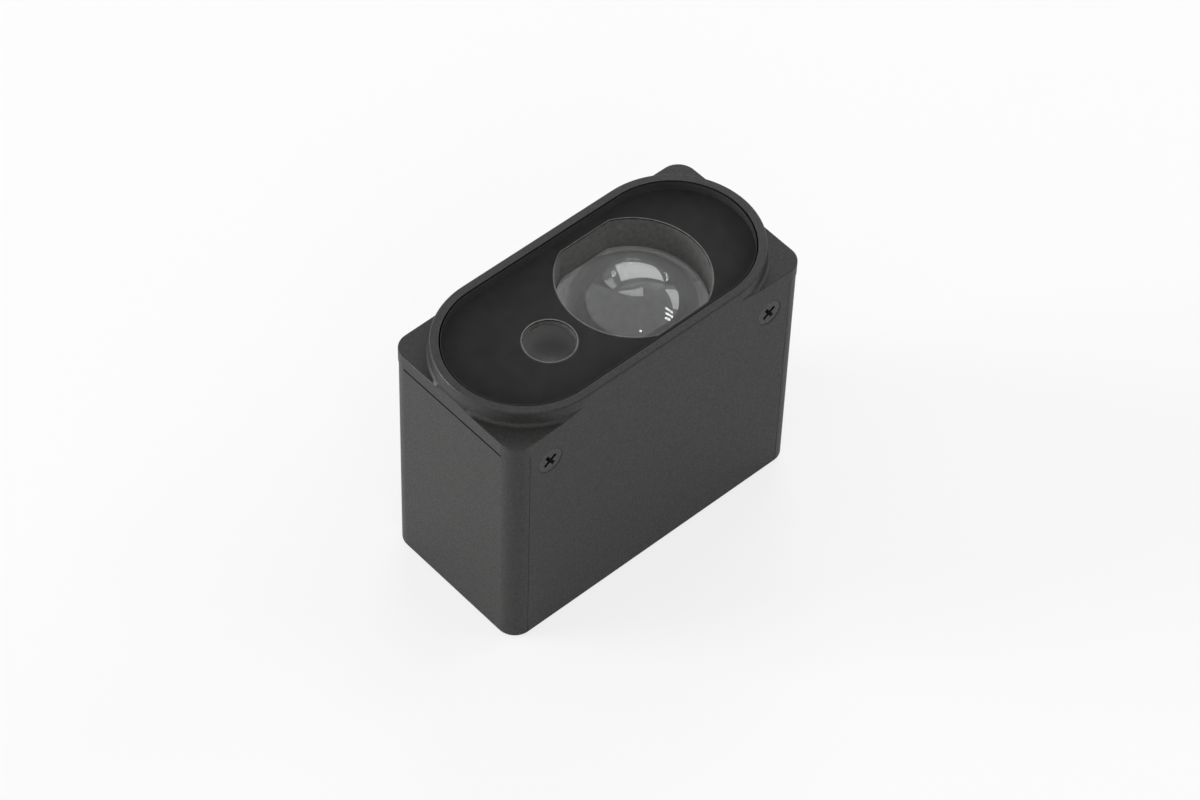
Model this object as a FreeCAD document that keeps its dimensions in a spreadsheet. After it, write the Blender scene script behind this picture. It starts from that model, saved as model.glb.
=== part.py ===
"""Optical distance sensor with a stadium window: long side along X, short side along Y, light leaves along +Z.

The origin lies at the middle of the rear face, and all lengths are millimetres.
"""

import FreeCAD, Part
import Sketcher
import os
import re

# Driving dimensions of the case
SIZES = {
    "body_length": 45.0,
    "body_width": 21.7,
    "corner_radius": 2.4,
    "land_height": 35.0,
    "cover_plate": 1.9,
    "rim_rise": 2.1,
    "rim_wall": 1.1,
    "rim_end_margin": 0.1,
    "rim_foot": 0.5,
    "rim_edge": 0.15,
    "ledge_width": 0.8,
    "long_wall": 1.4,
    "short_wall": 2.0,
    "floor_thickness": 2.0,
    "base_edge": 0.4,
    "side_step": 0.1,
    "seam_gap": 0.2,
    "seam_depth": 0.5,
    "wall_play": 0.05,
    "overcut": 1.0,
}

# Window, its dark layer and its seal
SIZES |= {
    "window_thickness": 2.5,
    "window_play": 0.15,
    "window_sink": 0.05,
    "window_chamfer": 0.12,
    "mask_thickness": 0.15,
    "gasket_thickness": 0.2,
    "gasket_inset": 0.05,
}

# Receiving side of the optics
SIZES |= {
    "receiver_offset": 5.2,
    "receiver_margin": 1.4,
    "receiver_bulge": 0.81,
    "lens_play": 0.1,
    "lens_seat_depth": 5.55,
    "lens_flange": 1.2,
    "lens_step": 0.79,
    "lens_bevel": 1.0,
    "lens_bevel_run": 1.1,
    "dome_rise": 3.0,
    "seat_width": 1.2,
    "cone_end_radius": 3.6,
    "filter_radius": 4.15,
    "filter_thickness": 1.0,
    "filter_play": 0.1,
    "chamber_height": 3.9,
}

# Sending side of the optics
SIZES |= {
    "emitter_offset": 8.6,
    "emitter_shift": 1.0,
    "emitter_radius": 3.16,
    "emitter_recess": 0.5,
    "emitter_lens_edge": 1.4,
    "emitter_lens_bulge": 0.4,
    "emitter_seat": 0.56,
    "tube_radius": 4.3,
    "diode_flange_radius": 2.8,
    "diode_flange": 1.2,
    "diode_can_radius": 1.8,
    "diode_can": 2.3,
    "diode_depth": 0.8,
    "diode_play": 0.05,
}

# Optics holder
SIZES |= {
    "holder_play": 0.25,
    "holder_corner": 1.0,
    "holder_flange": 1.5,
    "holder_gap": 0.05,
    "boss_play": 0.1,
    "barrel_wall": 0.84,
    "barrel_depth": 8.6,
    "barrel_tail_radius": 6.2,
    "post_inset": 5.3,
    "post_radius": 2.0,
}

# Detector package, and the leads of the diode
SIZES |= {
    "detector_side": 5.6,
    "detector_rise": 1.9,
    "detector_frame": 0.9,
    "detector_recess": 0.4,
    "lead_radius": 0.22,
    "lead_circle": 1.27,
    "lead_length": 1.7,
    "lead_hole_radius": 0.32,
}

# Circuit boards and what they carry
SIZES |= {
    "sensor_board_level": 12.0,
    "main_board_level": 5.2,
    "board_thickness": 1.0,
    "board_side_play": 0.6,
    "timing_chip_side": 5.4,
    "timing_chip_gap": 5.1,
    "chip_thickness": 0.9,
    "processor_side": 8.0,
    "processor_offset": 9.0,
    "inductor_side": 4.0,
    "inductor_rise": 2.0,
    "inductor_offset": 11.0,
    "inductor_edge": 0.5,
    "header_margin": 3.0,
    "header_width": 2.5,
    "header_rise": 1.7,
    "socket_slot": 0.9,
    "pin_pitch": 1.27,
    "pin_count": 8,
    "pin_side": 0.5,
    "pin_reach": 2.9,
    "pin_clearance": 0.3,
}

# Rear connector, flush in the rear plate
SIZES |= {
    "connector_length": 13.0,
    "connector_width": 5.6,
    "connector_sink": 0.6,
    "connector_wall": 0.7,
    "connector_base": 0.8,
    "connector_play": 0.2,
    "connector_key": 1.6,
    "contact_side": 0.5,
    "contact_reach": 2.6,
    "seal_width": 1.5,
}

# Fasteners and fixing holes
SIZES |= {
    "cover_screw_inset": 5.5,
    "cover_screw_drop": 1.7,
    "cover_head_radius": 1.75,
    "cover_head_sink": 0.08,
    "cover_screw_length": 4.6,
    "screw_radius": 0.98,
    "screw_play": 0.02,
    "clearance_radius": 1.1,
    "recess_reach": 1.05,
    "recess_width": 0.42,
    "recess_depth": 0.55,
    "flat_head_radius": 1.75,
    "flat_head_rise": 1.2,
    "sensor_screw_length": 5.5,
    "main_screw_length": 3.4,
    "main_screw_inset": 5.5,
    "main_screw_margin": 2.8,
    "board_post_radius": 2.1,
    "lug_reach": 5.1,
    "lug_width": 3.6,
    "lug_height": 4.2,
    "fixing_inset": 5.0,
    "fixing_radius": 1.25,
    "fixing_depth": 4.4,
    "fixing_boss_radius": 3.2,
}

# Turn of the cross recess of the cover screws, in degrees
COVER_SCREW_TURN = 33.0

# Levels and widths that follow from the driving dimensions
SEAM = "(land_height - cover_plate)"
RIM_TOP = "(land_height + rim_rise)"
RIM_CENTRE = "(body_length / 2 - body_width / 2 - rim_end_margin)"
POCKET_RADIUS = "(body_width / 2 - rim_wall)"
OPENING_RADIUS = f"({POCKET_RADIUS} - ledge_width)"
PANE_RADIUS = f"({POCKET_RADIUS} - window_play)"
PANE_BOTTOM = f"({RIM_TOP} - window_sink - window_thickness)"
MASK_BOTTOM = f"({PANE_BOTTOM} - mask_thickness)"
LEDGE = f"({MASK_BOTTOM} - gasket_thickness)"
COLUMN_EDGE = "(body_length / 2 - corner_radius)"
WALL_INSIDE = "(body_width / 2 - long_wall)"
TRAY_SIDE = f"({WALL_INSIDE} - wall_play)"
TRAY_END = "(body_length / 2 - side_step - short_wall)"
HOLDER_TOP = f"({MASK_BOTTOM} - holder_gap)"
FLANGE_BOTTOM = f"({SEAM} - holder_flange)"
LENS_SEAT = f"({HOLDER_TOP} - lens_seat_depth)"
SENSOR_BOARD_TOP = "(sensor_board_level + board_thickness)"
MAIN_BOARD_TOP = "(main_board_level + board_thickness)"
EMITTER_SEAT = f"({HOLDER_TOP} - emitter_recess - emitter_lens_edge)"
DIODE_SEAT = f"({SENSOR_BOARD_TOP} + diode_depth + diode_flange)"
RECEIVER_FLAT = f"({POCKET_RADIUS} - receiver_margin)"
RECEIVER_RADIUS = f"({RECEIVER_FLAT} + receiver_bulge)"
SHOULDER_RADIUS = f"({RECEIVER_RADIUS} - lens_step)"
DOME_RADIUS = f"({SHOULDER_RADIUS} - lens_bevel_run)"
BARREL_RADIUS = f"({RECEIVER_RADIUS} + barrel_wall)"
COVER_SCREW_X = "(body_length / 2 - cover_screw_inset)"
COVER_SCREW_Z = f"({FLANGE_BOTTOM} - cover_screw_drop)"
POST_X = "(body_length / 2 - post_inset)"
MAIN_SCREW_X = "(body_length / 2 - main_screw_inset)"
MAIN_SCREW_Y = f"({TRAY_SIDE} - main_screw_margin)"
FIXING_X = "(body_length / 2 - fixing_inset)"
HEADER_Y = f"({TRAY_SIDE} - header_margin)"

doc = FreeCAD.newDocument("DistanceSensor")
sheet = doc.addObject("Spreadsheet::Sheet", "Sizes")


def fill_sheet():
    """Writes each driving dimension beside its name."""
    for row, (name, number) in enumerate(SIZES.items(), start=1):
        sheet.set(f"A{row}", name)
        sheet.set(f"B{row}", str(number))
        sheet.setAlias(f"B{row}", name)
    doc.recompute()


def bound(text):
    """Turns the names in a size expression into references to the sheet."""
    return re.sub(r"[a-z_]+", lambda word: f"Sizes.{word[0]}" if word[0] in SIZES else word[0], str(text))


def value(text):
    """Gives the present number of a size expression."""
    return float(sheet.evalExpression(bound(text)))


def same(a, b):
    """Says whether two lengths agree closely enough to be one place."""
    return abs(a - b) < 1e-4


def body(label):
    """Starts a piece."""
    piece = doc.addObject("PartDesign::Body", label)
    piece.Label = label
    return piece


def origin_plane(piece, role):
    """Finds one of the piece's own origin planes."""
    return next(feature for feature in piece.Origin.OriginFeatures if feature.Role == role)


def sketch_on(piece, role, level=0, across=0):
    """Starts a sketch on a plane of the piece: level moves it along the plane's normal, across along its X."""
    sketch = piece.newObject("Sketcher::SketchObject", f"{piece.Name}_outline")
    sketch.AttachmentSupport = (origin_plane(piece, role), [""])
    sketch.MapMode = "FlatFace"
    sketch.setExpression("AttachmentOffset.Base.z", bound(level))
    sketch.setExpression("AttachmentOffset.Base.x", bound(across))
    return sketch


def tie(sketch, kind, *ends, text):
    """Adds a dimension to a sketch and binds it to the sheet."""
    number = sketch.addConstraint(Sketcher.Constraint(kind, *ends, value(text)))
    sketch.setExpression(f"Constraints[{number}]", bound(text))


def pin(sketch, index, position, x, y):
    """Ties one point of a sketch to its place."""
    tie(sketch, "DistanceX", -1, 1, index, position, text=x)
    tie(sketch, "DistanceY", -1, 1, index, position, text=y)


def circle(sketch, x, y, radius):
    """Draws a circle."""
    spot = FreeCAD.Vector(value(x), value(y), 0)
    index = sketch.addGeometry(Part.Circle(spot, FreeCAD.Vector(0, 0, 1), value(radius)))
    pin(sketch, index, 3, x, y)
    tie(sketch, "Radius", index, text=radius)


def outline(sketch, corners):
    """Draws a closed outline, anticlockwise: a corner is (x, y), or (x, y, centre x, centre y) where an arc leaves it."""
    spots = [FreeCAD.Vector(value(corner[0]), value(corner[1]), 0) for corner in corners]
    edges = []
    for corner, start, end in zip(corners, spots, spots[1:] + spots[:1]):
        if not corner[2:]:
            edges.append(sketch.addGeometry(Part.LineSegment(start, end)))
            continue
        centre = FreeCAD.Vector(value(corner[2]), value(corner[3]), 0)
        first = start - centre
        last = end - centre
        turn = Part.Circle(centre, FreeCAD.Vector(0, 0, 1), first.Length)
        sweep = Part.ArcOfCircle(turn, turn.parameter(start), turn.parameter(start) + sweep_angle(first, last))
        edges.append(sketch.addGeometry(sweep))
    for here, after in zip(edges, edges[1:] + edges[:1]):
        sketch.addConstraint(Sketcher.Constraint("Coincident", here, 2, after, 1))
    for corner, index in zip(corners, edges):
        pin(sketch, index, 1, corner[0], corner[1])
        if corner[2:]:
            tie(sketch, "DistanceX", -1, 1, index, 3, text=corner[2])


def sweep_angle(first, last):
    """Gives the anticlockwise angle from one direction to another."""
    angle = first.getAngle(last)
    return angle if first.cross(last).z >= -1e-9 else 2 * 3.141592653589793 - angle


def rectangle(sketch, left, right, low, high):
    """Draws a rectangle between two places across and two places up."""
    outline(sketch, [(left, low), (right, low), (right, high), (left, high)])


def rounded_rectangle(sketch, half_length, half_width, radius):
    """Draws a rectangle with rounded corners about the origin."""
    a, b = half_length, half_width
    near_a, near_b = f"({a} - {radius})", f"({b} - {radius})"
    outline(
        sketch,
        [
            (f"-{near_a}", f"-{b}"),
            (near_a, f"-{b}", near_a, f"-{near_b}"),
            (a, f"-{near_b}"),
            (a, near_b, near_a, near_b),
            (near_a, b),
            (f"-{near_a}", b, f"-{near_a}", near_b),
            (f"-{a}", near_b),
            (f"-{a}", f"-{near_b}", f"-{near_a}", f"-{near_b}"),
        ],
    )


def flat_sided(sketch, left, right, radius, flat):
    """Draws two round ends about (left, 0) and (right, 0), joined by flats at y = flat and y = -flat."""
    reach = f"sqrt({radius} * {radius} - {flat} * {flat})"
    outline(
        sketch,
        [
            (f"{right} + {reach}", f"-{flat}", right, 0),
            (f"{right} + {reach}", flat),
            (f"{left} - {reach}", flat, left, 0),
            (f"{left} - {reach}", f"-{flat}"),
        ],
    )


def stadium(sketch, radius):
    """Draws the window's stadium form with the given radius at its ends."""
    flat_sided(sketch, f"-{RIM_CENTRE}", RIM_CENTRE, radius, radius)


def pad(piece, sketch, length, backwards=False):
    """Adds a sketch as solid material."""
    feature = piece.newObject("PartDesign::Pad", f"{piece.Name}_pad")
    feature.Profile = sketch
    feature.Reversed = backwards
    feature.setExpression("Length", bound(length))
    doc.recompute()
    return feature


def pocket(piece, sketch, length, backwards=False):
    """Cuts a sketch out of the solid and makes sure that it took material away."""
    before = piece.Shape.Volume
    feature = piece.newObject("PartDesign::Pocket", f"{piece.Name}_pocket")
    feature.Profile = sketch
    feature.Reversed = backwards
    feature.setExpression("Length", bound(length))
    doc.recompute()
    if not piece.Shape.Volume < before:
        raise ValueError(f"a pocket of {piece.Label} cuts nothing")
    return feature


def turned(piece, kind, sketch, angle=360.0, both_ways=False):
    """Turns a sketch about its upright axis, as a Revolution or a Groove."""
    feature = piece.newObject(f"PartDesign::{kind}", f"{piece.Name}_turn")
    feature.Profile = sketch
    feature.ReferenceAxis = (sketch, ["V_Axis"])
    feature.Angle = angle
    feature.Midplane = both_ways
    doc.recompute()
    return feature


def mirrored(piece, feature, role):
    """Repeats a feature on the other side of an origin plane."""
    copy = piece.newObject("PartDesign::Mirrored", f"{piece.Name}_mirror")
    copy.Originals = [feature]
    copy.MirrorPlane = (origin_plane(piece, role), [""])
    piece.Tip = copy
    doc.recompute()
    return copy


def edge_names(piece, wanted):
    """Names the edges of a piece that pass a test."""
    edges = piece.Tip.Shape.Edges
    return [f"Edge{number}" for number, edge in enumerate(edges, start=1) if wanted(edge)]


def bevel(piece, size, wanted):
    """Bevels the edges that pass a test."""
    base = piece.Tip
    names = edge_names(piece, wanted)
    feature = piece.newObject("PartDesign::Chamfer", f"{piece.Name}_edge")
    feature.Base = (base, names)
    feature.setExpression("Size", bound(size))
    doc.recompute()
    return feature


def lies_at(edge, level):
    """Says whether an edge lies flat at a height."""
    box = edge.BoundBox
    return same(box.ZMin, level) and same(box.ZMax, level)


def place(piece, x=0, y=0, z=0, rotation=None):
    """Puts a piece at its place, with its coordinates bound to the sheet."""
    if rotation:
        piece.Placement = FreeCAD.Placement(FreeCAD.Vector(0, 0, 0), rotation)
    for axis, text in (("x", x), ("y", y), ("z", z)):
        piece.setExpression(f"Placement.Base.{axis}", bound(text))


def block(label, length, width, rise, x, y, z):
    """Makes a rectangular piece centred on (x, y) that stands at height z."""
    piece = doc.addObject("Part::Box", label)
    piece.Label = label
    for side, text in (("Length", length), ("Width", width), ("Height", rise)):
        piece.setExpression(side, bound(text))
    place(piece, f"{x} - ({length}) / 2", f"{y} - ({width}) / 2", z)
    return piece


def group(label, members):
    """Keeps like pieces together as one named set of separate solids."""
    whole = doc.addObject("Part::Compound", label)
    whole.Label = label
    whole.Links = members
    return whole


def front_cover():
    """Plate with the raised stadium rim, and the two long walls in one piece with it."""
    piece = body("front_cover")
    plate = sketch_on(piece, "XY_Plane", SEAM)
    rounded_rectangle(plate, "body_length / 2", "body_width / 2", "corner_radius")
    pad(piece, plate, "cover_plate + rim_rise")
    cut_corner_lands(piece)
    add_long_walls(piece)
    recess = sketch_on(piece, "XY_Plane", RIM_TOP)
    stadium(recess, POCKET_RADIUS)
    pocket(piece, recess, f"{RIM_TOP} - {LEDGE}")
    opening = sketch_on(piece, "XY_Plane", RIM_TOP)
    stadium(opening, OPENING_RADIUS)
    pocket(piece, opening, "cover_plate + rim_rise + overcut")
    cut_screw_seats(piece)
    top = value(RIM_TOP)
    bevel(piece, "rim_edge", lambda edge: lies_at(edge, top) and edge_outside(edge, POCKET_RADIUS))
    bevel(piece, "base_edge", is_outer_base_edge)
    return piece


def cut_corner_lands(piece):
    """Turns the four corner lands down round the ends of the rim, with a bevel at its foot."""
    form = sketch_on(piece, "XZ_Plane", across=RIM_CENTRE)
    wall, foot = "body_width / 2", "land_height"
    outline(
        form,
        [
            (wall, f"{foot} + rim_foot"),
            (f"{wall} + rim_foot", foot),
            ("body_length", foot),
            ("body_length", f"{RIM_TOP} + overcut"),
            (wall, f"{RIM_TOP} + overcut"),
        ],
    )
    turn = turned(piece, "Groove", form, angle=180.0, both_ways=True)
    mirrored(piece, turn, "YZ_Plane")


def add_long_walls(piece):
    """Adds both long walls, from the plate down to the rear face."""
    walls = sketch_on(piece, "XY_Plane")
    end = f"{COLUMN_EDGE} - wall_play"
    rectangle(walls, f"-({end})", end, f"-body_width / 2", f"-{WALL_INSIDE}")
    rectangle(walls, f"-({end})", end, WALL_INSIDE, "body_width / 2")
    pad(piece, walls, SEAM)


def cut_screw_seats(piece):
    """Drills and countersinks the long walls for the cover screws."""
    spots = sketch_on(piece, "XZ_Plane", "body_width / 2")
    for side in ("-", ""):
        circle(spots, f"{side}{COVER_SCREW_X}", COVER_SCREW_Z, "clearance_radius")
    doc.recompute()
    hole = piece.newObject("PartDesign::Hole", "front_cover_hole")
    hole.Profile = spots
    doc.recompute()
    hole.DepthType = "Dimension"
    hole.DrillPoint = "Flat"
    hole.HoleCutType = "Countersink"
    hole.HoleCutCustomValues = True
    hole.HoleCutCountersinkAngle = 90.0
    hole.setExpression("Diameter", bound("clearance_radius * 2"))
    hole.setExpression("HoleCutDiameter", bound("(cover_head_radius + cover_head_sink) * 2"))
    hole.setExpression("Depth", bound("long_wall + overcut"))
    doc.recompute()
    mirrored(piece, hole, "XZ_Plane")


def edge_outside(edge, radius):
    """Says whether an edge runs outside the stadium with the given end radius."""
    middle = edge.valueAt((edge.FirstParameter + edge.LastParameter) / 2)
    across = max(abs(middle.x) - value(RIM_CENTRE), 0)
    return (across**2 + middle.y**2) ** 0.5 > value(radius) + 1e-3


def is_outer_base_edge(edge):
    """Says whether an edge is a lower outer edge of a long wall."""
    box = edge.BoundBox
    side = value("body_width / 2")
    return lies_at(edge, 0) and same(abs(box.YMin), side) and same(abs(box.YMax), side)


def rear_housing():
    """Tray with the rear plate, the short walls, the screw lugs, the board posts and the fixing bosses."""
    piece = body("rear_housing")
    plan = sketch_on(piece, "XY_Plane")
    rounded_rectangle(plan, "(body_length / 2 - side_step)", "body_width / 2", "corner_radius")
    pad(piece, plan, SEAM)
    sides = sketch_on(piece, "XY_Plane", SEAM)
    outside = "body_width / 2 + overcut"
    rectangle(sides, f"-{COLUMN_EDGE}", COLUMN_EDGE, f"-({outside})", f"-{TRAY_SIDE}")
    rectangle(sides, f"-{COLUMN_EDGE}", COLUMN_EDGE, TRAY_SIDE, outside)
    pocket(piece, sides, f"{SEAM} + overcut")
    inside = sketch_on(piece, "XY_Plane", SEAM)
    rectangle(inside, f"-{TRAY_END}", TRAY_END, f"-{TRAY_SIDE}", TRAY_SIDE)
    pocket(piece, inside, f"{SEAM} - floor_thickness")
    cut_seam_rebate(piece)
    bevel(piece, "base_edge", is_short_base_edge)
    add_lugs(piece)
    add_posts(piece)
    mouth = sketch_on(piece, "XY_Plane", "floor_thickness")
    half, wide = "(connector_length / 2 + connector_play)", "(connector_width / 2 + connector_play)"
    rectangle(mouth, f"-{half}", half, f"-{wide}", wide)
    pocket(piece, mouth, "floor_thickness + overcut")
    return piece


def cut_seam_rebate(piece):
    """Opens the narrow joint under the cover on both short sides, between the rounded corners."""
    joint = sketch_on(piece, "XY_Plane", SEAM)
    start, end = "(body_length / 2 - side_step - seam_depth)", "(body_length / 2 + overcut)"
    half = "(body_width / 2 - corner_radius)"
    rectangle(joint, f"-{end}", f"-{start}", f"-{half}", half)
    rectangle(joint, start, end, f"-{half}", half)
    pocket(piece, joint, "seam_gap")


def is_short_base_edge(edge):
    """Says whether an edge is a lower outer edge of a short side or of its rounded corners."""
    middle = edge.valueAt((edge.FirstParameter + edge.LastParameter) / 2)
    return lies_at(edge, 0) and abs(middle.x) > value(COLUMN_EDGE) + 1e-3


def add_lugs(piece):
    """Adds the four lugs that take the cover screws and hold the optics holder up, each on a slanted foot."""
    form = sketch_on(piece, "XZ_Plane", TRAY_SIDE)
    inner, top, low = f"({TRAY_END} - lug_reach)", FLANGE_BOTTOM, f"({FLANGE_BOTTOM} - lug_height)"
    foot = f"({low} - lug_reach)"
    outline(form, [(inner, low), (TRAY_END, foot), (TRAY_END, top), (inner, top)])
    outline(form, [(f"-{TRAY_END}", foot), (f"-{inner}", low), (f"-{inner}", top), (f"-{TRAY_END}", top)])
    lugs = pad(piece, form, "lug_width", backwards=True)
    mirrored(piece, lugs, "XZ_Plane")
    bores = sketch_on(piece, "XZ_Plane", TRAY_SIDE)
    for side in ("-", ""):
        circle(bores, f"{side}{COVER_SCREW_X}", COVER_SCREW_Z, "screw_radius + screw_play")
    holes = pocket(piece, bores, "lug_width + overcut")
    mirrored(piece, holes, "XZ_Plane")


def add_posts(piece):
    """Adds the posts for the main board and the bosses round the fixing holes, with their threaded holes."""
    posts = sketch_on(piece, "XY_Plane", "floor_thickness")
    for x, y in board_screw_places():
        circle(posts, x, y, "board_post_radius")
    for side in ("-", ""):
        circle(posts, f"{side}{FIXING_X}", 0, "fixing_boss_radius")
    pad(piece, posts, "main_board_level - floor_thickness")
    threads = sketch_on(piece, "XY_Plane", "main_board_level")
    for x, y in board_screw_places():
        circle(threads, x, y, "screw_radius + screw_play")
    pocket(piece, threads, "main_screw_length - board_thickness + screw_play")
    fixings = sketch_on(piece, "XY_Plane")
    for side in ("-", ""):
        circle(fixings, f"{side}{FIXING_X}", 0, "fixing_radius")
    pocket(piece, fixings, "fixing_depth", backwards=True)


def board_screw_places():
    """Gives the two places of the main board screws, at opposite corners."""
    return [(f"{side}{MAIN_SCREW_X}", f"{side}{MAIN_SCREW_Y}") for side in ("-", "")]


def front_window():
    """Thick clear pane with a fine bevel round its front."""
    piece = body("front_window")
    plan = sketch_on(piece, "XY_Plane", PANE_BOTTOM)
    stadium(plan, PANE_RADIUS)
    pad(piece, plan, "window_thickness")
    top = value(f"{PANE_BOTTOM} + window_thickness")
    bevel(piece, "window_chamfer", lambda edge: lies_at(edge, top))
    return piece


def window_mask():
    """Black layer behind the pane, open in front of the two lenses."""
    piece = body("window_mask")
    plan = sketch_on(piece, "XY_Plane", MASK_BOTTOM)
    stadium(plan, PANE_RADIUS)
    flat_sided(plan, "receiver_offset", "receiver_offset", RECEIVER_RADIUS, RECEIVER_FLAT)
    circle(plan, "-emitter_offset", "-emitter_shift", "emitter_radius")
    pad(piece, plan, "mask_thickness")
    return piece


def window_gasket():
    """Bonding seal between the dark layer and the ledge of the cover."""
    piece = body("window_gasket")
    plan = sketch_on(piece, "XY_Plane", LEDGE)
    stadium(plan, f"({PANE_RADIUS} - gasket_inset)")
    stadium(plan, f"({OPENING_RADIUS} + gasket_inset)")
    pad(piece, plan, "gasket_thickness")
    return piece


def optics_holder():
    """Block that holds both lenses, the filter and the laser diode, with a flange that the cover clamps."""
    piece = body("optics_holder")
    flange = sketch_on(piece, "XY_Plane", FLANGE_BOTTOM)
    rounded_rectangle(flange, f"({TRAY_END} - holder_play)", f"({WALL_INSIDE} - holder_play)", "holder_corner")
    pad(piece, flange, "holder_flange")
    boss = sketch_on(piece, "XY_Plane", SEAM)
    stadium(boss, f"({OPENING_RADIUS} - boss_play)")
    pad(piece, boss, f"{HOLDER_TOP} - {SEAM}")
    add_barrel(piece)
    tube = sketch_on(piece, "XY_Plane", FLANGE_BOTTOM)
    circle(tube, "-emitter_offset", "-emitter_shift", "tube_radius")
    for side in ("-", ""):
        circle(tube, f"{side}{POST_X}", 0, "post_radius")
    pad(piece, tube, f"{FLANGE_BOTTOM} - {SENSOR_BOARD_TOP}", backwards=True)
    bore_receiver(piece)
    bore_emitter(piece)
    threads = sketch_on(piece, "XY_Plane", SENSOR_BOARD_TOP)
    for side in ("-", ""):
        circle(threads, f"{side}{POST_X}", 0, "screw_radius + screw_play")
    pocket(piece, threads, "sensor_screw_length - board_thickness + overcut", backwards=True)
    return piece


def add_barrel(piece):
    """Adds the outside of the receiving barrel, which steps in towards the detector and has flat sides."""
    form = sketch_on(piece, "XZ_Plane", across="receiver_offset")
    step = f"({FLANGE_BOTTOM} - barrel_depth)"
    outline(
        form,
        [
            (0, SENSOR_BOARD_TOP),
            ("barrel_tail_radius", SENSOR_BOARD_TOP),
            ("barrel_tail_radius", step),
            (BARREL_RADIUS, step),
            (BARREL_RADIUS, FLANGE_BOTTOM),
            (0, FLANGE_BOTTOM),
        ],
    )
    turned(piece, "Revolution", form)
    sides = sketch_on(piece, "XY_Plane", FLANGE_BOTTOM)
    near, far = f"({WALL_INSIDE} - holder_play)", "body_width"
    rectangle(sides, "-body_length / 2", "body_length / 2", f"-{far}", f"-{near}")
    rectangle(sides, "-body_length / 2", "body_length / 2", near, far)
    pocket(piece, sides, FLANGE_BOTTOM)


def bore_receiver(piece):
    """Cuts the flat-sided lens recess, the cone of light behind it, and the chamber of the filter and the detector."""
    recess = sketch_on(piece, "XY_Plane", HOLDER_TOP)
    flat_sided(recess, "receiver_offset", "receiver_offset", RECEIVER_RADIUS, RECEIVER_FLAT)
    pocket(piece, recess, "lens_seat_depth")
    form = sketch_on(piece, "XZ_Plane", across="receiver_offset")
    stop = f"({SENSOR_BOARD_TOP} + chamber_height + filter_thickness)"
    outline(
        form,
        [
            (0, f"{SENSOR_BOARD_TOP} - overcut"),
            ("filter_radius + filter_play", f"{SENSOR_BOARD_TOP} - overcut"),
            ("filter_radius + filter_play", stop),
            ("cone_end_radius", stop),
            (f"{RECEIVER_FLAT} - seat_width", LENS_SEAT),
            (f"{RECEIVER_FLAT} - seat_width", f"{LENS_SEAT} + overcut"),
            (0, f"{LENS_SEAT} + overcut"),
        ],
    )
    turned(piece, "Groove", form)


def bore_emitter(piece):
    """Cuts the sending bore: the seat of the small lens, the tube and the seat of the diode."""
    form = sketch_on(piece, "XZ_Plane", "emitter_shift", "-emitter_offset")
    tube = "(emitter_radius - emitter_seat)"
    outline(
        form,
        [
            (0, f"{SENSOR_BOARD_TOP} - overcut"),
            ("diode_flange_radius + diode_play", f"{SENSOR_BOARD_TOP} - overcut"),
            ("diode_flange_radius + diode_play", DIODE_SEAT),
            (tube, DIODE_SEAT),
            (tube, EMITTER_SEAT),
            ("emitter_radius", EMITTER_SEAT),
            ("emitter_radius", f"{HOLDER_TOP} + overcut"),
            (0, f"{HOLDER_TOP} + overcut"),
        ],
    )
    turned(piece, "Groove", form)


def receiver_lens():
    """Domed lens on a stepped flange with two flats."""
    piece = body("receiver_lens")
    form = sketch_on(piece, "XZ_Plane", across="receiver_offset")
    top = f"({LENS_SEAT} + lens_flange)"
    spring = f"({top} + lens_bevel)"
    ball = f"(({DOME_RADIUS} * {DOME_RADIUS} + dome_rise * dome_rise) / (2 * dome_rise))"
    outline(
        form,
        [
            (0, LENS_SEAT),
            (f"{RECEIVER_RADIUS} - lens_play", LENS_SEAT),
            (f"{RECEIVER_RADIUS} - lens_play", top),
            (SHOULDER_RADIUS, top),
            (DOME_RADIUS, spring, 0, f"{spring} + dome_rise - {ball}"),
            (0, f"{spring} + dome_rise"),
        ],
    )
    turned(piece, "Revolution", form)
    sides = sketch_on(piece, "XY_Plane", LENS_SEAT)
    near, far = f"({RECEIVER_FLAT} - lens_play)", "body_width"
    rectangle(sides, "-body_length", "body_length", f"-{far}", f"-{near}")
    rectangle(sides, "-body_length", "body_length", near, far)
    pocket(piece, sides, "lens_flange + lens_bevel", backwards=True)
    return piece


def emitter_lens():
    """Small lens with a flat front and a curved back."""
    piece = body("emitter_lens")
    form = sketch_on(piece, "XZ_Plane", "emitter_shift", "-emitter_offset")
    rim = "(emitter_radius - lens_play)"
    edge = "(emitter_radius - emitter_seat)"
    ball = f"(({edge} * {edge} + emitter_lens_bulge * emitter_lens_bulge) / (2 * emitter_lens_bulge))"
    outline(
        form,
        [
            (0, f"{EMITTER_SEAT} - emitter_lens_bulge", 0, f"{EMITTER_SEAT} - emitter_lens_bulge + {ball}"),
            (edge, EMITTER_SEAT),
            (rim, EMITTER_SEAT),
            (rim, f"{EMITTER_SEAT} + emitter_lens_edge"),
            (0, f"{EMITTER_SEAT} + emitter_lens_edge"),
        ],
    )
    turned(piece, "Revolution", form)
    return piece


def bandpass_filter():
    """Optical filter disc against its stop in front of the detector."""
    piece = doc.addObject("Part::Cylinder", "bandpass_filter")
    piece.Label = "bandpass_filter"
    piece.setExpression("Radius", bound("filter_radius"))
    piece.setExpression("Height", bound("filter_thickness"))
    place(piece, "receiver_offset", 0, f"{SENSOR_BOARD_TOP} + chamber_height")
    return piece


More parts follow.
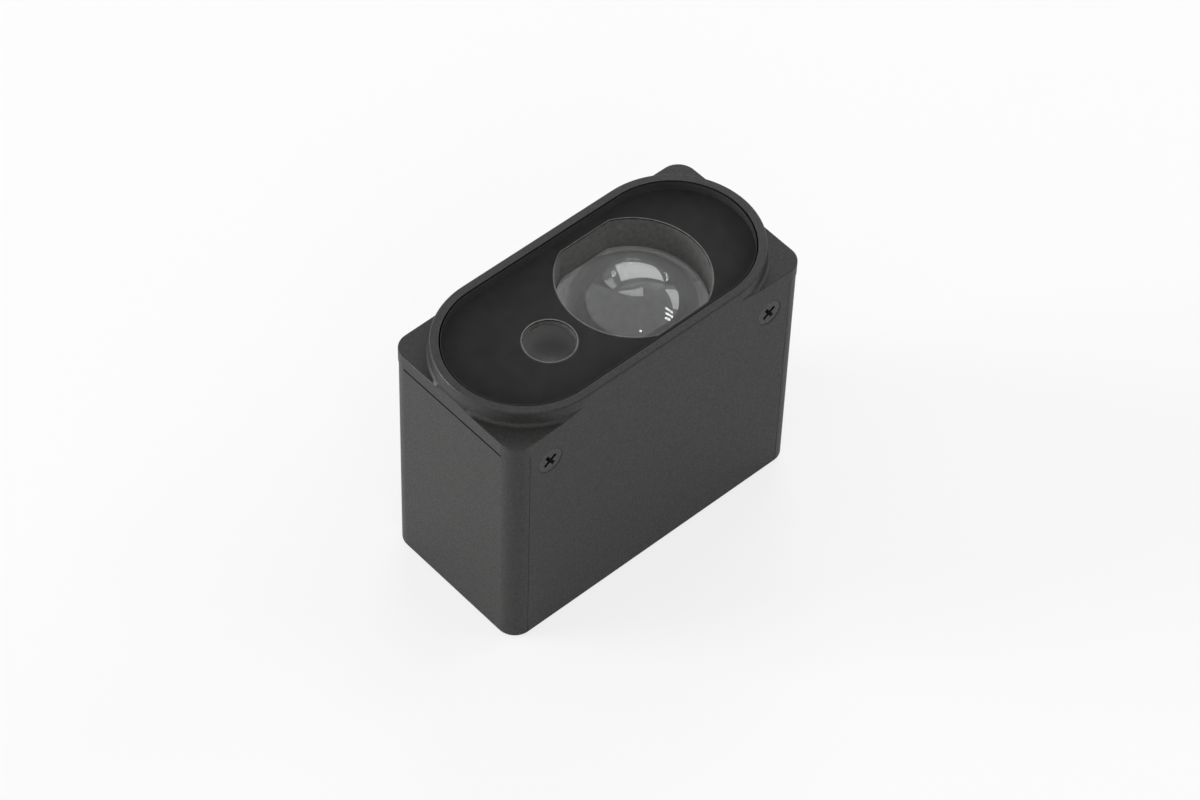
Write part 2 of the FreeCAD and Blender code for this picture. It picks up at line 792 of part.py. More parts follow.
def laser_diode():
    """Laser diode in a round can against its seat at the foot of the sending tube, with three leads to the board."""
    piece = body("laser_diode")
    level = f"({DIODE_SEAT} - diode_flange)"
    form = sketch_on(piece, "XZ_Plane", "emitter_shift", "-emitter_offset")
    outline(
        form,
        [
            (0, level),
            ("diode_flange_radius", level),
            ("diode_flange_radius", DIODE_SEAT),
            ("diode_can_radius", DIODE_SEAT),
            ("diode_can_radius", f"{DIODE_SEAT} + diode_can"),
            (0, f"{DIODE_SEAT} + diode_can"),
        ],
    )
    turned(piece, "Revolution", form)
    leads = sketch_on(piece, "XY_Plane", level)
    for x, y in lead_places():
        circle(leads, x, y, "lead_radius")
    pad(piece, leads, "lead_length + diode_depth", backwards=True)
    return piece


def lead_places():
    """Gives the places of the diode's three leads."""
    x, y = "-emitter_offset", "-emitter_shift"
    return [(f"{x} - lead_circle", y), (f"{x} + lead_circle", y), (x, f"{y} - lead_circle")]


def photodetector():
    """Detector in a flat square package on the sensor board, with a recess over its light-sensitive face."""
    piece = body("photodetector")
    half = "(detector_side / 2)"
    plan = sketch_on(piece, "XY_Plane", SENSOR_BOARD_TOP)
    rectangle(plan, f"receiver_offset - {half}", f"receiver_offset + {half}", f"-{half}", half)
    pad(piece, plan, "detector_rise")
    near = f"({half} - detector_frame)"
    face = sketch_on(piece, "XY_Plane", f"{SENSOR_BOARD_TOP} + detector_rise")
    rectangle(face, f"receiver_offset - {near}", f"receiver_offset + {near}", f"-{near}", near)
    pocket(piece, face, "detector_recess")
    return piece


def board(label, level, holes):
    """Makes a circuit board with round holes, each (x, y, radius)."""
    piece = body(label)
    plan = sketch_on(piece, "XY_Plane", level)
    half, wide = f"({TRAY_END} - board_side_play)", f"({TRAY_SIDE} - board_side_play)"
    rectangle(plan, f"-{half}", half, f"-{wide}", wide)
    for x, y, radius in holes:
        circle(plan, x, y, radius)
    pad(piece, plan, "board_thickness")
    return piece


def sensor_board():
    """Board behind the optics, with holes for its two screws and for the leads of the diode."""
    holes = [(x, y, "lead_hole_radius") for x, y in lead_places()]
    holes += [(f"{side}{POST_X}", "0", "clearance_radius") for side in ("-", "")]
    return board("sensor_board", "sensor_board_level", holes)


def main_board():
    """Board on the posts of the rear housing."""
    return board("main_board", "main_board_level", [(x, y, "clearance_radius") for x, y in board_screw_places()])


def timing_chip():
    """Chip under the sensor board that times the light."""
    side = "timing_chip_side"
    level = "sensor_board_level - chip_thickness"
    return block("timing_chip", side, side, "chip_thickness", f"{POST_X} - timing_chip_gap", 0, level)


def processor_chip():
    """Processor on the main board."""
    side = "processor_side"
    return block("processor_chip", side, side, "chip_thickness", "processor_offset", 0, MAIN_BOARD_TOP)


def power_inductor():
    """Coil of the supply, with rounded upright edges."""
    side = "inductor_side"
    core = block("power_inductor_core", side, side, "inductor_rise", "-inductor_offset", 0, MAIN_BOARD_TOP)
    doc.recompute()
    piece = doc.addObject("Part::Fillet", "power_inductor")
    piece.Label = "power_inductor"
    piece.Base = core
    radius = value("inductor_edge")
    upright = [n for n, edge in enumerate(core.Shape.Edges, start=1) if edge.BoundBox.ZLength > radius]
    piece.Edges = [(number, radius, radius) for number in upright]
    return piece


def row_length(count, margin):
    """Gives the length of a row of pins with a margin at both ends."""
    return f"(({count} - 1) * pin_pitch + 2 * {margin})"


def board_header():
    """Plastic body of the header under the sensor board."""
    length = row_length("pin_count", "pin_side")
    level = "sensor_board_level - header_rise"
    return block("board_header", length, "header_width", "header_rise", 0, HEADER_Y, level)


def pin_places():
    """Gives the places of the pins along a row about the middle."""
    return [f"({number} - (pin_count - 1) / 2) * pin_pitch" for number in range(int(value("pin_count")))]


def header_pins():
    """Pins of the header, which reach into the socket."""
    level = "sensor_board_level - header_rise - pin_reach"
    pins = [
        block(f"header_pin_{number}", "pin_side", "pin_side", "pin_reach", x, HEADER_Y, level)
        for number, x in enumerate(pin_places())
    ]
    return group("header_pins", pins)


def board_socket():
    """Socket on the main board with a slot for the row of pins."""
    piece = body("board_socket")
    top = "(sensor_board_level - header_rise)"
    plan = sketch_on(piece, "XY_Plane", MAIN_BOARD_TOP)
    half = f"({row_length('pin_count', 'pin_side')} / 2)"
    low, high = f"{HEADER_Y} - header_width / 2", f"{HEADER_Y} + header_width / 2"
    rectangle(plan, f"-{half}", half, low, high)
    pad(piece, plan, f"{top} - {MAIN_BOARD_TOP}")
    slot = sketch_on(piece, "XY_Plane", top)
    reach = "((pin_count - 1) * pin_pitch / 2 + pin_side / 2 + pin_clearance / 2)"
    rectangle(slot, f"-{reach}", reach, f"{HEADER_Y} - socket_slot / 2", f"{HEADER_Y} + socket_slot / 2")
    pocket(piece, slot, "pin_reach + pin_clearance")
    return piece


def connector_shell():
    """Shrouded connector that opens through the rear plate, with two keyways in one long side."""
    piece = body("connector_shell")
    plan = sketch_on(piece, "XY_Plane", "connector_sink")
    half, wide = "(connector_length / 2)", "(connector_width / 2)"
    rectangle(plan, f"-{half}", half, f"-{wide}", wide)
    pad(piece, plan, "main_board_level - connector_sink")
    mouth = sketch_on(piece, "XY_Plane", "connector_sink")
    rectangle(
        mouth,
        f"-({half} - connector_wall)",
        f"{half} - connector_wall",
        f"-({wide} - connector_wall)",
        f"{wide} - connector_wall",
    )
    pocket(piece, mouth, "main_board_level - connector_sink - connector_base", backwards=True)
    keys = sketch_on(piece, "XY_Plane", "connector_sink")
    for left in ("-connector_length / 4 - connector_key / 2", "connector_length / 4 - connector_key / 2"):
        rectangle(keys, left, f"{left} + connector_key", f"-({wide} + overcut)", f"-({wide} - 1.5 * connector_wall)")
    pocket(piece, keys, "contact_reach", backwards=True)
    return piece


def connector_pins():
    """Contacts of the rear connector."""
    level = "main_board_level - connector_base - contact_reach"
    side = "contact_side"
    pins = [
        block(f"contact_{number}", side, side, "contact_reach", x, 0, level)
        for number, x in enumerate(pin_places())
    ]
    return group("connector_pins", pins)


def connector_seal():
    """Rubber seal round the connector, between the rear plate and the main board."""
    piece = body("connector_seal")
    plan = sketch_on(piece, "XY_Plane", "floor_thickness")
    half, wide = "connector_length / 2 + connector_play", "connector_width / 2 + connector_play"
    rectangle(plan, f"-({half})", half, f"-({wide})", wide)
    rounded_rectangle(plan, f"({half} + seal_width)", f"({wide} + seal_width)", "seal_width")
    pad(piece, plan, "main_board_level - floor_thickness")
    return piece


def add_cross_recess(piece, level):
    """Cuts a cross recess down into a screw head."""
    cross = sketch_on(piece, "XY_Plane", level)
    reach, half = "recess_reach", "(recess_width / 2)"
    outline(
        cross,
        [
            (f"-{half}", f"-{reach}"),
            (half, f"-{reach}"),
            (half, f"-{half}"),
            (reach, f"-{half}"),
            (reach, half),
            (half, half),
            (half, reach),
            (f"-{half}", reach),
            (f"-{half}", half),
            (f"-{reach}", half),
            (f"-{reach}", f"-{half}"),
            (f"-{half}", f"-{half}"),
        ],
    )
    pocket(piece, cross, "recess_depth")


def countersunk_screw(label):
    """Makes a countersunk screw: its head's face lies at the origin, its tip points down."""
    piece = body(label)
    form = sketch_on(piece, "XZ_Plane")
    outline(
        form,
        [
            (0, "-cover_screw_length"),
            ("screw_radius", "-cover_screw_length"),
            ("screw_radius", "screw_radius - cover_head_radius"),
            ("cover_head_radius", 0),
            (0, 0),
        ],
    )
    turned(piece, "Revolution", form)
    add_cross_recess(piece, 0)
    return piece


def flat_screw(label, length):
    """Makes a cylinder-head screw: the underside of its head lies at the origin, its tip points down."""
    piece = body(label)
    form = sketch_on(piece, "XZ_Plane")
    outline(
        form,
        [
            (0, f"-{length}"),
            ("screw_radius", f"-{length}"),
            ("screw_radius", 0),
            ("flat_head_radius", 0),
            ("flat_head_radius", "flat_head_rise"),
            (0, "flat_head_rise"),
        ],
    )
    turned(piece, "Revolution", form)
    add_cross_recess(piece, "flat_head_rise")
    return piece


def cover_screws():
    """Four countersunk screws through the long walls into the lugs."""
    screws = []
    for face, tilt in (("-", 90.0), ("", -90.0)):
        for side in ("-", ""):
            screw = countersunk_screw(f"cover_screw_{len(screws) + 1}")
            lean = FreeCAD.Rotation(FreeCAD.Vector(1, 0, 0), tilt)
            spin = FreeCAD.Rotation(FreeCAD.Vector(0, 0, 1), COVER_SCREW_TURN)
            depth = f"{face}(body_width / 2 - cover_head_sink)"
            place(screw, f"{side}{COVER_SCREW_X}", depth, COVER_SCREW_Z, lean.multiply(spin))
            screws.append(screw)
    return group("cover_screws", screws)


def sensor_board_screws():
    """Two screws that pull the sensor board up against the optics holder."""
    upside_down = FreeCAD.Rotation(FreeCAD.Vector(1, 0, 0), 180.0)
    screws = []
    for side in ("-", ""):
        screw = flat_screw(f"sensor_board_screw_{len(screws) + 1}", "sensor_screw_length")
        place(screw, f"{side}{POST_X}", 0, "sensor_board_level", upside_down)
        screws.append(screw)
    return group("sensor_board_screws", screws)


def main_board_screws():
    """Two screws that hold the main board down on its posts."""
    screws = []
    for x, y in board_screw_places():
        screw = flat_screw(f"main_board_screw_{len(screws) + 1}", "main_screw_length")
        place(screw, x, y, MAIN_BOARD_TOP)
        screws.append(screw)
    return group("main_board_screws", screws)


MAKERS = [
    front_cover,
    rear_housing,
    front_window,
    window_mask,
    window_gasket,
    optics_holder,
    receiver_lens,
    emitter_lens,
    bandpass_filter,
    photodetector,
    laser_diode,
    sensor_board,
    main_board,
    timing_chip,
    processor_chip,
    power_inductor,
    board_header,
    header_pins,
    board_socket,
    connector_shell,
    connector_pins,
    connector_seal,
    cover_screws,
    sensor_board_screws,
    main_board_screws,
]


def main():
    """Builds every piece, checks it and writes it to its file."""
    fill_sheet()
    pieces = [make() for make in MAKERS]
    doc.recompute()
    broken = [item.Label for item in doc.Objects if {"Invalid", "Error"} & set(item.State)]
    if broken:
        raise ValueError(f"these failed: {broken}")
    os.makedirs("parts", exist_ok=True)
    for piece in pieces:
        if piece.Shape.isNull() or not piece.Shape.isValid():
            raise ValueError(f"{piece.Label} has no valid shape")
        piece.Shape.exportStep(f"parts/{piece.Label}.step")
        print(piece.Label, len(piece.Shape.Solids), "solids", round(piece.Shape.Volume, 2), "mm3")


main()
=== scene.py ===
# %% [markdown]
# # Optical distance sensor: finishes, glass and light
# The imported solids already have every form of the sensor: a powder-coated case in two pieces, a thick
# window, a dark layer printed behind it, two lenses in a grey holder, and the boards and the connector
# inside. This script gives each of them the surface that the real one has. It rebuilds in finer meshes the
# few pieces on which light makes the picture: the case's edges, the window, the lenses and the screws. All
# lengths are in metres.

# %% Load the solids
import bpy, bmesh
import math
from mathutils import Matrix, Quaternion, Vector


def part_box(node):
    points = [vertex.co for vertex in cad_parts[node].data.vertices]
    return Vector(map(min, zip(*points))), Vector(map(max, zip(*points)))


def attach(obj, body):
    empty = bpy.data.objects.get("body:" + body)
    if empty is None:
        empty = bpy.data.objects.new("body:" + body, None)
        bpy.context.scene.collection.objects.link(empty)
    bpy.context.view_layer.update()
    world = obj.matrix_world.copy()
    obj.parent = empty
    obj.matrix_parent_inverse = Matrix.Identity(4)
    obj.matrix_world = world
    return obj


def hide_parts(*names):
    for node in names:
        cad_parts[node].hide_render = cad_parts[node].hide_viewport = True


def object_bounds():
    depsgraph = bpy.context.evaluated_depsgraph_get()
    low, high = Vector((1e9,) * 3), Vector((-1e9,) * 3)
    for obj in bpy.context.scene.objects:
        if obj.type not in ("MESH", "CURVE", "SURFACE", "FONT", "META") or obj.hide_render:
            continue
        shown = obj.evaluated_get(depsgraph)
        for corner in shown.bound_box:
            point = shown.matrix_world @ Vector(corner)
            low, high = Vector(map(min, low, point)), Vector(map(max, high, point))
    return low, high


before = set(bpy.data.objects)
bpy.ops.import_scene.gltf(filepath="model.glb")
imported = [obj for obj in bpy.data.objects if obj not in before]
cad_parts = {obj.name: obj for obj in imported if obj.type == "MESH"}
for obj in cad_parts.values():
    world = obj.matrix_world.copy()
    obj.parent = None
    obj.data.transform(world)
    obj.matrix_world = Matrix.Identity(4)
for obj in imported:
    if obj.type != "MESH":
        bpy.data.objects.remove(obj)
solid_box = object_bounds()
MM = 0.001
print("solids:", len(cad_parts), "nodes")
print("box in mm:", [[round(v / MM, 2) for v in corner] for corner in solid_box])

# %% [markdown]
# ## The camera
# A long lens looks down at the long side and one short side. Its place and its two directions come from
# lining up the solids' edges with the edges of the real sensor in the picture. Two unit vectors, along the
# sight line and across the picture, fix the turn without any angles, and their cross product points up in
# the picture.

# %% Place the camera
EYE = Vector((-0.216186, -0.228824, 0.392694))
SIGHT = Vector((0.442113, 0.466664, -0.766003))
ACROSS = Vector((0.744756, -0.666921, 0.023548))
FILM_WIDTH, FOCAL_LENGTH = 36.0, 124.23

camera_data = bpy.data.cameras.new("camera")
camera_data.sensor_width = FILM_WIDTH
camera_data.lens = FOCAL_LENGTH
camera_data.clip_start = 0.01
camera = bpy.data.objects.new("camera", camera_data)
bpy.context.scene.collection.objects.link(camera)
upward = ACROSS.cross(SIGHT)
camera.matrix_world = Matrix.Translation(EYE) @ Matrix((ACROSS, upward, -SIGHT)).transposed().to_4x4()
bpy.context.scene.camera = camera
bpy.context.scene.view_settings.view_transform = "Standard"
print("camera to window in mm:", round((EYE - Vector((0, 0, solid_box[1].z))).length / MM))

# %% [markdown]
# ## Helpers for finishes
# A finish is one Principled shader. What is even over the whole surface goes straight on the shader's
# sockets. What varies is driven by a noise that reads Object coordinates, in metres, so that a grain of 0.2
# mm is 0.2 mm on every piece. A finish can then be mottled (colour), worn (roughness) or raised (relief) by
# any number of such noises.

# %% Finish helpers
MOTTLE_SPAN = (0.35, 0.65)
WEAR_SPAN = (0.3, 0.7)


def finish(name, **even):
    """Makes a Principled material, with each even value on the shader's own socket."""
    made = bpy.data.materials.new(name)
    made.use_nodes = True
    shader = made.node_tree.nodes["Principled BSDF"]
    for socket, value in even.items():
        shader.inputs[socket.replace("_", " ")].default_value = value
    return made


def grain(made, size, detail, stretch=(1, 1, 1)):
    """Adds a noise whose grains are about size metres across, and returns its output."""
    nodes, links = made.node_tree.nodes, made.node_tree.links
    place = nodes.new("ShaderNodeTexCoord")
    scale = nodes.new("ShaderNodeMapping")
    scale.inputs["Scale"].default_value = [s / size for s in stretch]
    noise = nodes.new("ShaderNodeTexNoise")
    noise.inputs["Scale"].default_value = 1.0
    noise.inputs["Detail"].default_value = detail
    links.new(place.outputs["Object"], scale.inputs["Vector"])
    links.new(scale.outputs["Vector"], noise.inputs["Vector"])
    return noise.outputs[0]


def mottle(made, driver, dark, pale):
    """Lets the driver move the base colour between dark and pale."""
    nodes, links = made.node_tree.nodes, made.node_tree.links
    ramp = nodes.new("ShaderNodeValToRGB")
    for stop, place, colour in zip(ramp.color_ramp.elements, MOTTLE_SPAN, (dark, pale)):
        stop.position = place
        stop.color = (*colour, 1)
    links.new(driver, ramp.inputs[0])
    links.new(ramp.outputs["Color"], nodes["Principled BSDF"].inputs["Base Color"])


def wear(made, driver, low, high):
    """Lets the driver move the roughness between low and high."""
    nodes, links = made.node_tree.nodes, made.node_tree.links
    span = nodes.new("ShaderNodeMapRange")
    for socket, value in zip(("From Min", "From Max", "To Min", "To Max"), (*WEAR_SPAN, low, high)):
        span.inputs[socket].default_value = value
    links.new(driver, span.inputs["Value"])
    links.new(span.outputs["Result"], nodes["Principled BSDF"].inputs["Roughness"])


def relief(made, driver, depth):
    """Raises the surface by the driver, depth metres high, on top of any relief that it has."""
    nodes, links = made.node_tree.nodes, made.node_tree.links
    normal = nodes["Principled BSDF"].inputs["Normal"]
    bump = nodes.new("ShaderNodeBump")
    bump.inputs["Distance"].default_value = depth
    links.new(driver, bump.inputs["Height"])
    if normal.is_linked:
        links.new(normal.links[0].from_socket, bump.inputs["Normal"])
    links.new(bump.outputs["Normal"], normal)


def dress(piece, made):
    """Gives a piece one material."""
    piece.data.materials.clear()
    piece.data.materials.append(made)
    for face in piece.data.polygons:
        face.material_index = 0


print("finish helpers ready")

# %% [markdown]
# ## The powder coat
# The case is a machined alloy box under a fine-textured black powder coat. The powder melts into small
# hills about 0.2 mm across, which is why flat faces glitter softly, and it flows into long shallow waves,
# which is why the sheen of the big sides isn't even. Two noises raise the surface at those two scales, and
# a third one mottles the black a little. Black paint still reflects a few hundredths of the white floor,
# and that sheen is most of what is seen.

# %% Powder coat
powder_coat = finish("powder_coat", IOR=1.45)
fine = grain(powder_coat, 0.22 * MM, 2.0)
wear(powder_coat, fine, 0.44, 0.6)
relief(powder_coat, fine, 0.018 * MM)
relief(powder_coat, grain(powder_coat, 3.0 * MM, 1.0), 0.02 * MM)
mottle(powder_coat, grain(powder_coat, 0.3 * MM, 3.0), (0.010, 0.010, 0.0095), (0.020, 0.020, 0.019))
print("powder coat:", len(powder_coat.node_tree.nodes), "shader nodes")

# %% [markdown]
# ## The case
# Sharp edges are what gives away a plain solid: paint always rounds them. The case's two solids are copied,
# their loose triangles are merged, and flat areas are joined into single faces. Then the outline of the
# lands is bevelled, 0.18 mm. The larger bevels are in the solids, and the screw holes and the inside stay
# as machined. Smooth shading stops at edges above 30 degrees, and long flat faces keep flat normals through
# a weighted-normal pass. From above, the cover's overhang hides the narrow joint under it, so on the copy
# the joint's floor lies 0.28 mm lower and its dark line shows.

# %% Case copies with rounded edges
WELD, FLAT_ANGLE, SHARP_ANGLE, SMOOTH_ANGLE = 0.001 * MM, math.radians(0.5), math.radians(40), 30
CASE_BEVEL, BEVEL_SEGMENTS = 0.18 * MM, 3
LAND = 35.0 * MM
LAND_TOLERANCE, END_REACH, SIDE_REACH = 0.01 * MM, 2.5 * MM, 0.1 * MM
JOINT_FLOOR, JOINT_OPEN, JOINT_REACH = 32.9 * MM, 0.28 * MM, 0.7 * MM
half_length, half_width = solid_box[1].x, solid_box[1].y


def merged_copy(node):
    """Returns a mesh of the node's solid with its triangles joined, and its flat areas as single faces."""
    mesh = bmesh.new()
    mesh.from_mesh(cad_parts[node].data)
    bmesh.ops.remove_doubles(mesh, verts=mesh.verts, dist=WELD)
    bmesh.ops.dissolve_limit(mesh, angle_limit=FLAT_ANGLE, verts=mesh.verts, edges=mesh.edges)
    return mesh


def round_edges(mesh, wanted, width):
    """Bevels the sharp convex edges that the test wanted(a, b) picks by their two end points."""
    sharp = []
    for edge in mesh.edges:
        if len(edge.link_faces) == 2 and edge.calc_face_angle_signed() > SHARP_ANGLE:
            a, b = (vertex.co for vertex in edge.verts)
            if wanted(a, b):
                sharp.append(edge)
    bmesh.ops.bevel(
        mesh,
        geom=sharp,
        offset=width,
        segments=BEVEL_SEGMENTS,
        profile=0.5,
        affect="EDGES",
        clamp_overlap=True,
    )
    return len(sharp)


def shown(name, mesh, angle=SMOOTH_ANGLE):
    """Links a mesh as an object that is smooth up to the given angle in degrees."""
    data = bpy.data.meshes.new(name)
    mesh.to_mesh(data)
    mesh.free()
    data.shade_smooth()
    data.set_sharp_from_angle(angle=math.radians(angle))
    piece = bpy.data.objects.new(name, data)
    bpy.context.scene.collection.objects.link(piece)
    return piece


def weigh_normals(piece):
    """Keeps flat faces flat in the shading, and leaves the curve to the bevels."""
    even = piece.modifiers.new("weighted_normals", "WEIGHTED_NORMAL")
    even.keep_sharp = True


def on_land_outline(a, b):
    """True for an edge in the plane of the lands that lies at the case's ends or along its long sides."""
    at_land = all(abs(point.z - LAND) < LAND_TOLERANCE for point in (a, b))
    at_end = any(abs(abs(point.x) - half_length) < END_REACH for point in (a, b))
    at_side = all(abs(point.y) > half_width - SIDE_REACH for point in (a, b))
    return at_land and (at_end or at_side)


cover_mesh = merged_copy("front_cover")
print("cover edges rounded:", round_edges(cover_mesh, on_land_outline, CASE_BEVEL))
cover = shown("cover_shell", cover_mesh)
weigh_normals(cover)
dress(cover, powder_coat)
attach(cover, "root")
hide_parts("front_cover")

housing_mesh = merged_copy("rear_housing")
joint = []
for vertex in housing_mesh.verts:
    if abs(vertex.co.z - JOINT_FLOOR) < WELD and abs(vertex.co.x) > half_length - JOINT_REACH:
        vertex.co.z -= JOINT_OPEN
        joint.append(vertex)
print("points of the side joints lowered:", len(joint))
housing = shown("housing_tray", housing_mesh)
weigh_normals(housing)
dress(housing, powder_coat)
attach(housing, "root")
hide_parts("rear_housing")
print("case faces:", len(cover.data.polygons), "+", len(housing.data.polygons))

# %% [markdown]
# ## The window
# The window is a clear pane 2.5 mm thick with a stadium outline, polished flat, with a hair-fine bevel, a
# ground wall and ink on its back. The ink touches the glass, so it doesn't shine. That is why the back's
# inked area is a face of the pane, filled between the outline and the two openings. Round each opening lies a
# ribbon of paler faces, a painted highlight for the thin line of light that the opening's edge catches. The
# front is coated against reflections. On clear glass the specular level changes nothing, so a dark specular
# tint takes the mirror image away. The glass lets the lamps' rays straight through, since otherwise no lamp
# would reach the recess behind it without caustics.

# %% Clear glass
GLASS_IOR, LET_THROUGH = 1.5, 0.95
NO_MIRROR = (0.02, 0.02, 0.02, 1)


def clear_glass(name, roughness=0.0, **even):
    """Glass for the eye, and clear for the rays that carry the lamps' light to what lies behind it."""
    made = finish(name, Roughness=roughness, IOR=GLASS_IOR, Transmission_Weight=1.0, **even)
    nodes, links = made.node_tree.nodes, made.node_tree.links
    path = nodes.new("ShaderNodeLightPath")
    either = nodes.new("ShaderNodeMath")
    either.operation = "MAXIMUM"
    links.new(path.outputs["Is Shadow Ray"], either.inputs[0])
    links.new(path.outputs["Is Diffuse Ray"], either.inputs[1])
    clear = nodes.new("ShaderNodeBsdfTransparent")
    clear.inputs["Color"].default_value = (LET_THROUGH, LET_THROUGH, LET_THROUGH, 1)
    mix = nodes.new("ShaderNodeMixShader")
    links.new(either.outputs[0], mix.inputs[0])
    links.new(nodes["Principled BSDF"].outputs[0], mix.inputs[1])
    links.new(clear.outputs[0], mix.inputs[2])
    links.new(mix.outputs[0], nodes["Material Output"].inputs["Surface"])
    return made


def stadium_outline(centre, radius, steps):
    """Points round a stadium that is long in X, counter-clockwise."""
    points = []
    for side in (1, -1):
        for i in range(steps + 1):
            turn = math.pi * (i / steps - 0.5)
            points.append((side * (centre + radius * math.cos(turn)), side * radius * math.sin(turn)))
    return points


def flat_outline(centre, radius, flat, steps):
    """Points round a circle whose two sides are cut straight at y = -flat and y = flat."""
    edge = math.asin(flat / radius)
    points = []
    for middle in (0, math.pi):
        for i in range(steps + 1):
            turn = middle - edge + 2 * edge * i / steps
            points.append((centre[0] + radius * math.cos(turn), centre[1] + radius * math.sin(turn)))
    return points


def wall(mesh, rings, slot):
    """Joins rings of equally many points, and returns the first and the last ring's vertices."""
    rows = [[mesh.verts.new(point) for point in ring] for ring in rings]
    count = len(rows[0])
    for low, high in zip(rows, rows[1:]):
        for i in range(count):
            j = (i + 1) % count
            mesh.faces.new((low[i], low[j], high[j], high[i])).material_index = slot
    return rows[0], rows[-1]


def ring_edges(mesh, row):
    """The closed loop of edges through a row of vertices."""
    edges = []
    for first, second in zip(row, row[1:] + row[:1]):
        edges.append(mesh.edges.get((first, second)) or mesh.edges.new((first, second)))
    return edges


print("glass and outline helpers ready")

# %% The pane and its printed back
CLEAR, INKED, GROUND, EDGE = range(4)
PANE_BEVEL, PRINT_GAP, HIGHLIGHT_RIBBON, LENS_PLAY = 0.12 * MM, 0.01 * MM, 0.16 * MM, 0.1 * MM
BEVEL_TURNS, PANE_SMOOTH = (0.0, 0.52, 1.05, 1.571), 35
PANE_STEPS, TAKE_STEPS, SEND_STEPS = 64, 48, 32
low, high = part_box("front_window")
pane_radius = high.y
pane_centre = high.x - pane_radius
back, front = low.z + PRINT_GAP, high.z
send_low, send_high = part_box("emitter_lens")
send_middle = ((send_low.x + send_high.x) / 2, (send_low.y + send_high.y) / 2)
send_radius = (send_high.x - send_low.x) / 2
take_low, take_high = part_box("receiver_lens")
take_middle = ((take_low.x + take_high.x) / 2, 0.0)
take_radius, take_flat = (take_high.x - take_low.x) / 2, take_high.y

pane_mesh = bmesh.new()
levels = [(0.0, back)]
for turn in BEVEL_TURNS:
    levels.append((-PANE_BEVEL * (1 - math.cos(turn)), front - PANE_BEVEL * (1 - math.sin(turn))))
stadium = [
    [(x, y, height) for x, y in stadium_outline(pane_centre, pane_radius + inward, PANE_STEPS)]
    for inward, height in levels
]
foot, top = wall(pane_mesh, stadium, GROUND)
pane_mesh.faces.new(top).material_index = CLEAR
openings = [
    [pane_mesh.verts.new((x, y, back)) for x, y in outline]
    for outline in (
        flat_outline(take_middle, take_radius + LENS_PLAY, take_flat + LENS_PLAY, TAKE_STEPS),
        flat_outline(send_middle, send_radius + LENS_PLAY, send_radius + LENS_PLAY, SEND_STEPS),
    )
]
print("openings:", [len(row) for row in openings], "points")
for row in openings:
    pane_mesh.faces.new(list(reversed(row))).material_index = CLEAR
print_rings = []
# Each opening gets a ribbon of faces whose pale finish is a painted highlight, the light caught by the
# opening's edge.
for inner, middle in zip(openings, (take_middle, send_middle)):
    outer = []
    for vertex in inner:
        away = vertex.co - Vector((*middle, back))
        outer.append(pane_mesh.verts.new(vertex.co + away.normalized() * HIGHLIGHT_RIBBON))
    for i in range(len(inner)):
        j = (i + 1) % len(inner)
        pane_mesh.faces.new((inner[i], inner[j], outer[j], outer[i])).material_index = EDGE
    print_rings.append(outer)
rims = [edge for row in (foot, *print_rings) for edge in ring_edges(pane_mesh, row)]
printed = bmesh.ops.triangle_fill(pane_mesh, edges=rims, use_beauty=True, use_dissolve=False)
for face in printed["geom"]:
    if isinstance(face, bmesh.types.BMFace):
        face.material_index = INKED
        face.normal_update()
        if face.normal.z > 0:
            face.normal_flip()
pane = shown("window_pane", pane_mesh, PANE_SMOOTH)
window_glass = clear_glass("window_glass", Specular_Tint=NO_MIRROR)
mottle(window_glass, grain(window_glass, 6.0 * MM, 1.0), (0.965, 0.98, 0.975), (0.975, 0.99, 0.985))
back_print = finish("back_print", Roughness=0.5, Specular_IOR_Level=0.0)
mottle(back_print, grain(back_print, 2.0 * MM, 2.0), (0.031, 0.031, 0.0305), (0.035, 0.035, 0.0345))
ground_edge = finish("ground_edge", Roughness=0.6, Specular_IOR_Level=0.0)
mottle(ground_edge, grain(ground_edge, 0.1 * MM, 2.0), (0.036, 0.036, 0.0355), (0.044, 0.044, 0.0435))
# Painted highlight: a pale finish on the ribbon round each opening, for the line of light on its edge.
opening_painted_highlight = finish("opening_painted_highlight", Roughness=0.5, Specular_IOR_Level=0.0)
mottle(opening_painted_highlight, grain(opening_painted_highlight, 0.5 * MM, 2.0), (0.14, 0.14, 0.14), (0.19, 0.19, 0.19))
for made in (window_glass, back_print, ground_edge, opening_painted_highlight):
    pane.data.materials.append(made)
weigh_normals(pane)
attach(pane, "root")
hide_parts("front_window")
print("pane: radius", round(pane_radius / MM, 2), "mm, faces", len(pane.data.polygons))

# %% [markdown]
# ## The dark layer
# Black ink is printed on the back of the pane, with clear openings in front of the two lenses. Its solid is
# right as it is, so only its finish is made: nearly black, slightly uneven in gloss as a screen print is.

# %% Printed layer
ink = finish("window_ink", Specular_IOR_Level=0.0)
mottle(ink, grain(ink, 1.5 * MM, 3.0), (0.005, 0.005, 0.0055), (0.0085, 0.0085, 0.0085))
wear(ink, grain(ink, 0.1 * MM, 2.0), 0.4, 0.55)
dress(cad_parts["window_mask"], ink)
print("ink on the pane's back")

# %% [markdown]
# ## The optics holder
# The holder is moulded in grey plastic, eroded to a fine matt so that stray light doesn't glare. The recess
# round the big lens shows through the window. A merged copy lets its round walls shade smoothly. The cone
# under the big lens and the bore under the small one are painted paler, the cone most: painted light, in
# place of the light that reaches them through the lenses, because they are what fills both lenses for the
# eye.

# %% Holder
CONE_SLOT, CONE_RADIUS, CONE_FOOT, CONE_TOP = 1, 9.1 * MM, 17.85 * MM, 28.85 * MM
BORE_SLOT, BORE_RADIUS, BORE_TOP = 2, 3.2 * MM, 32 * MM

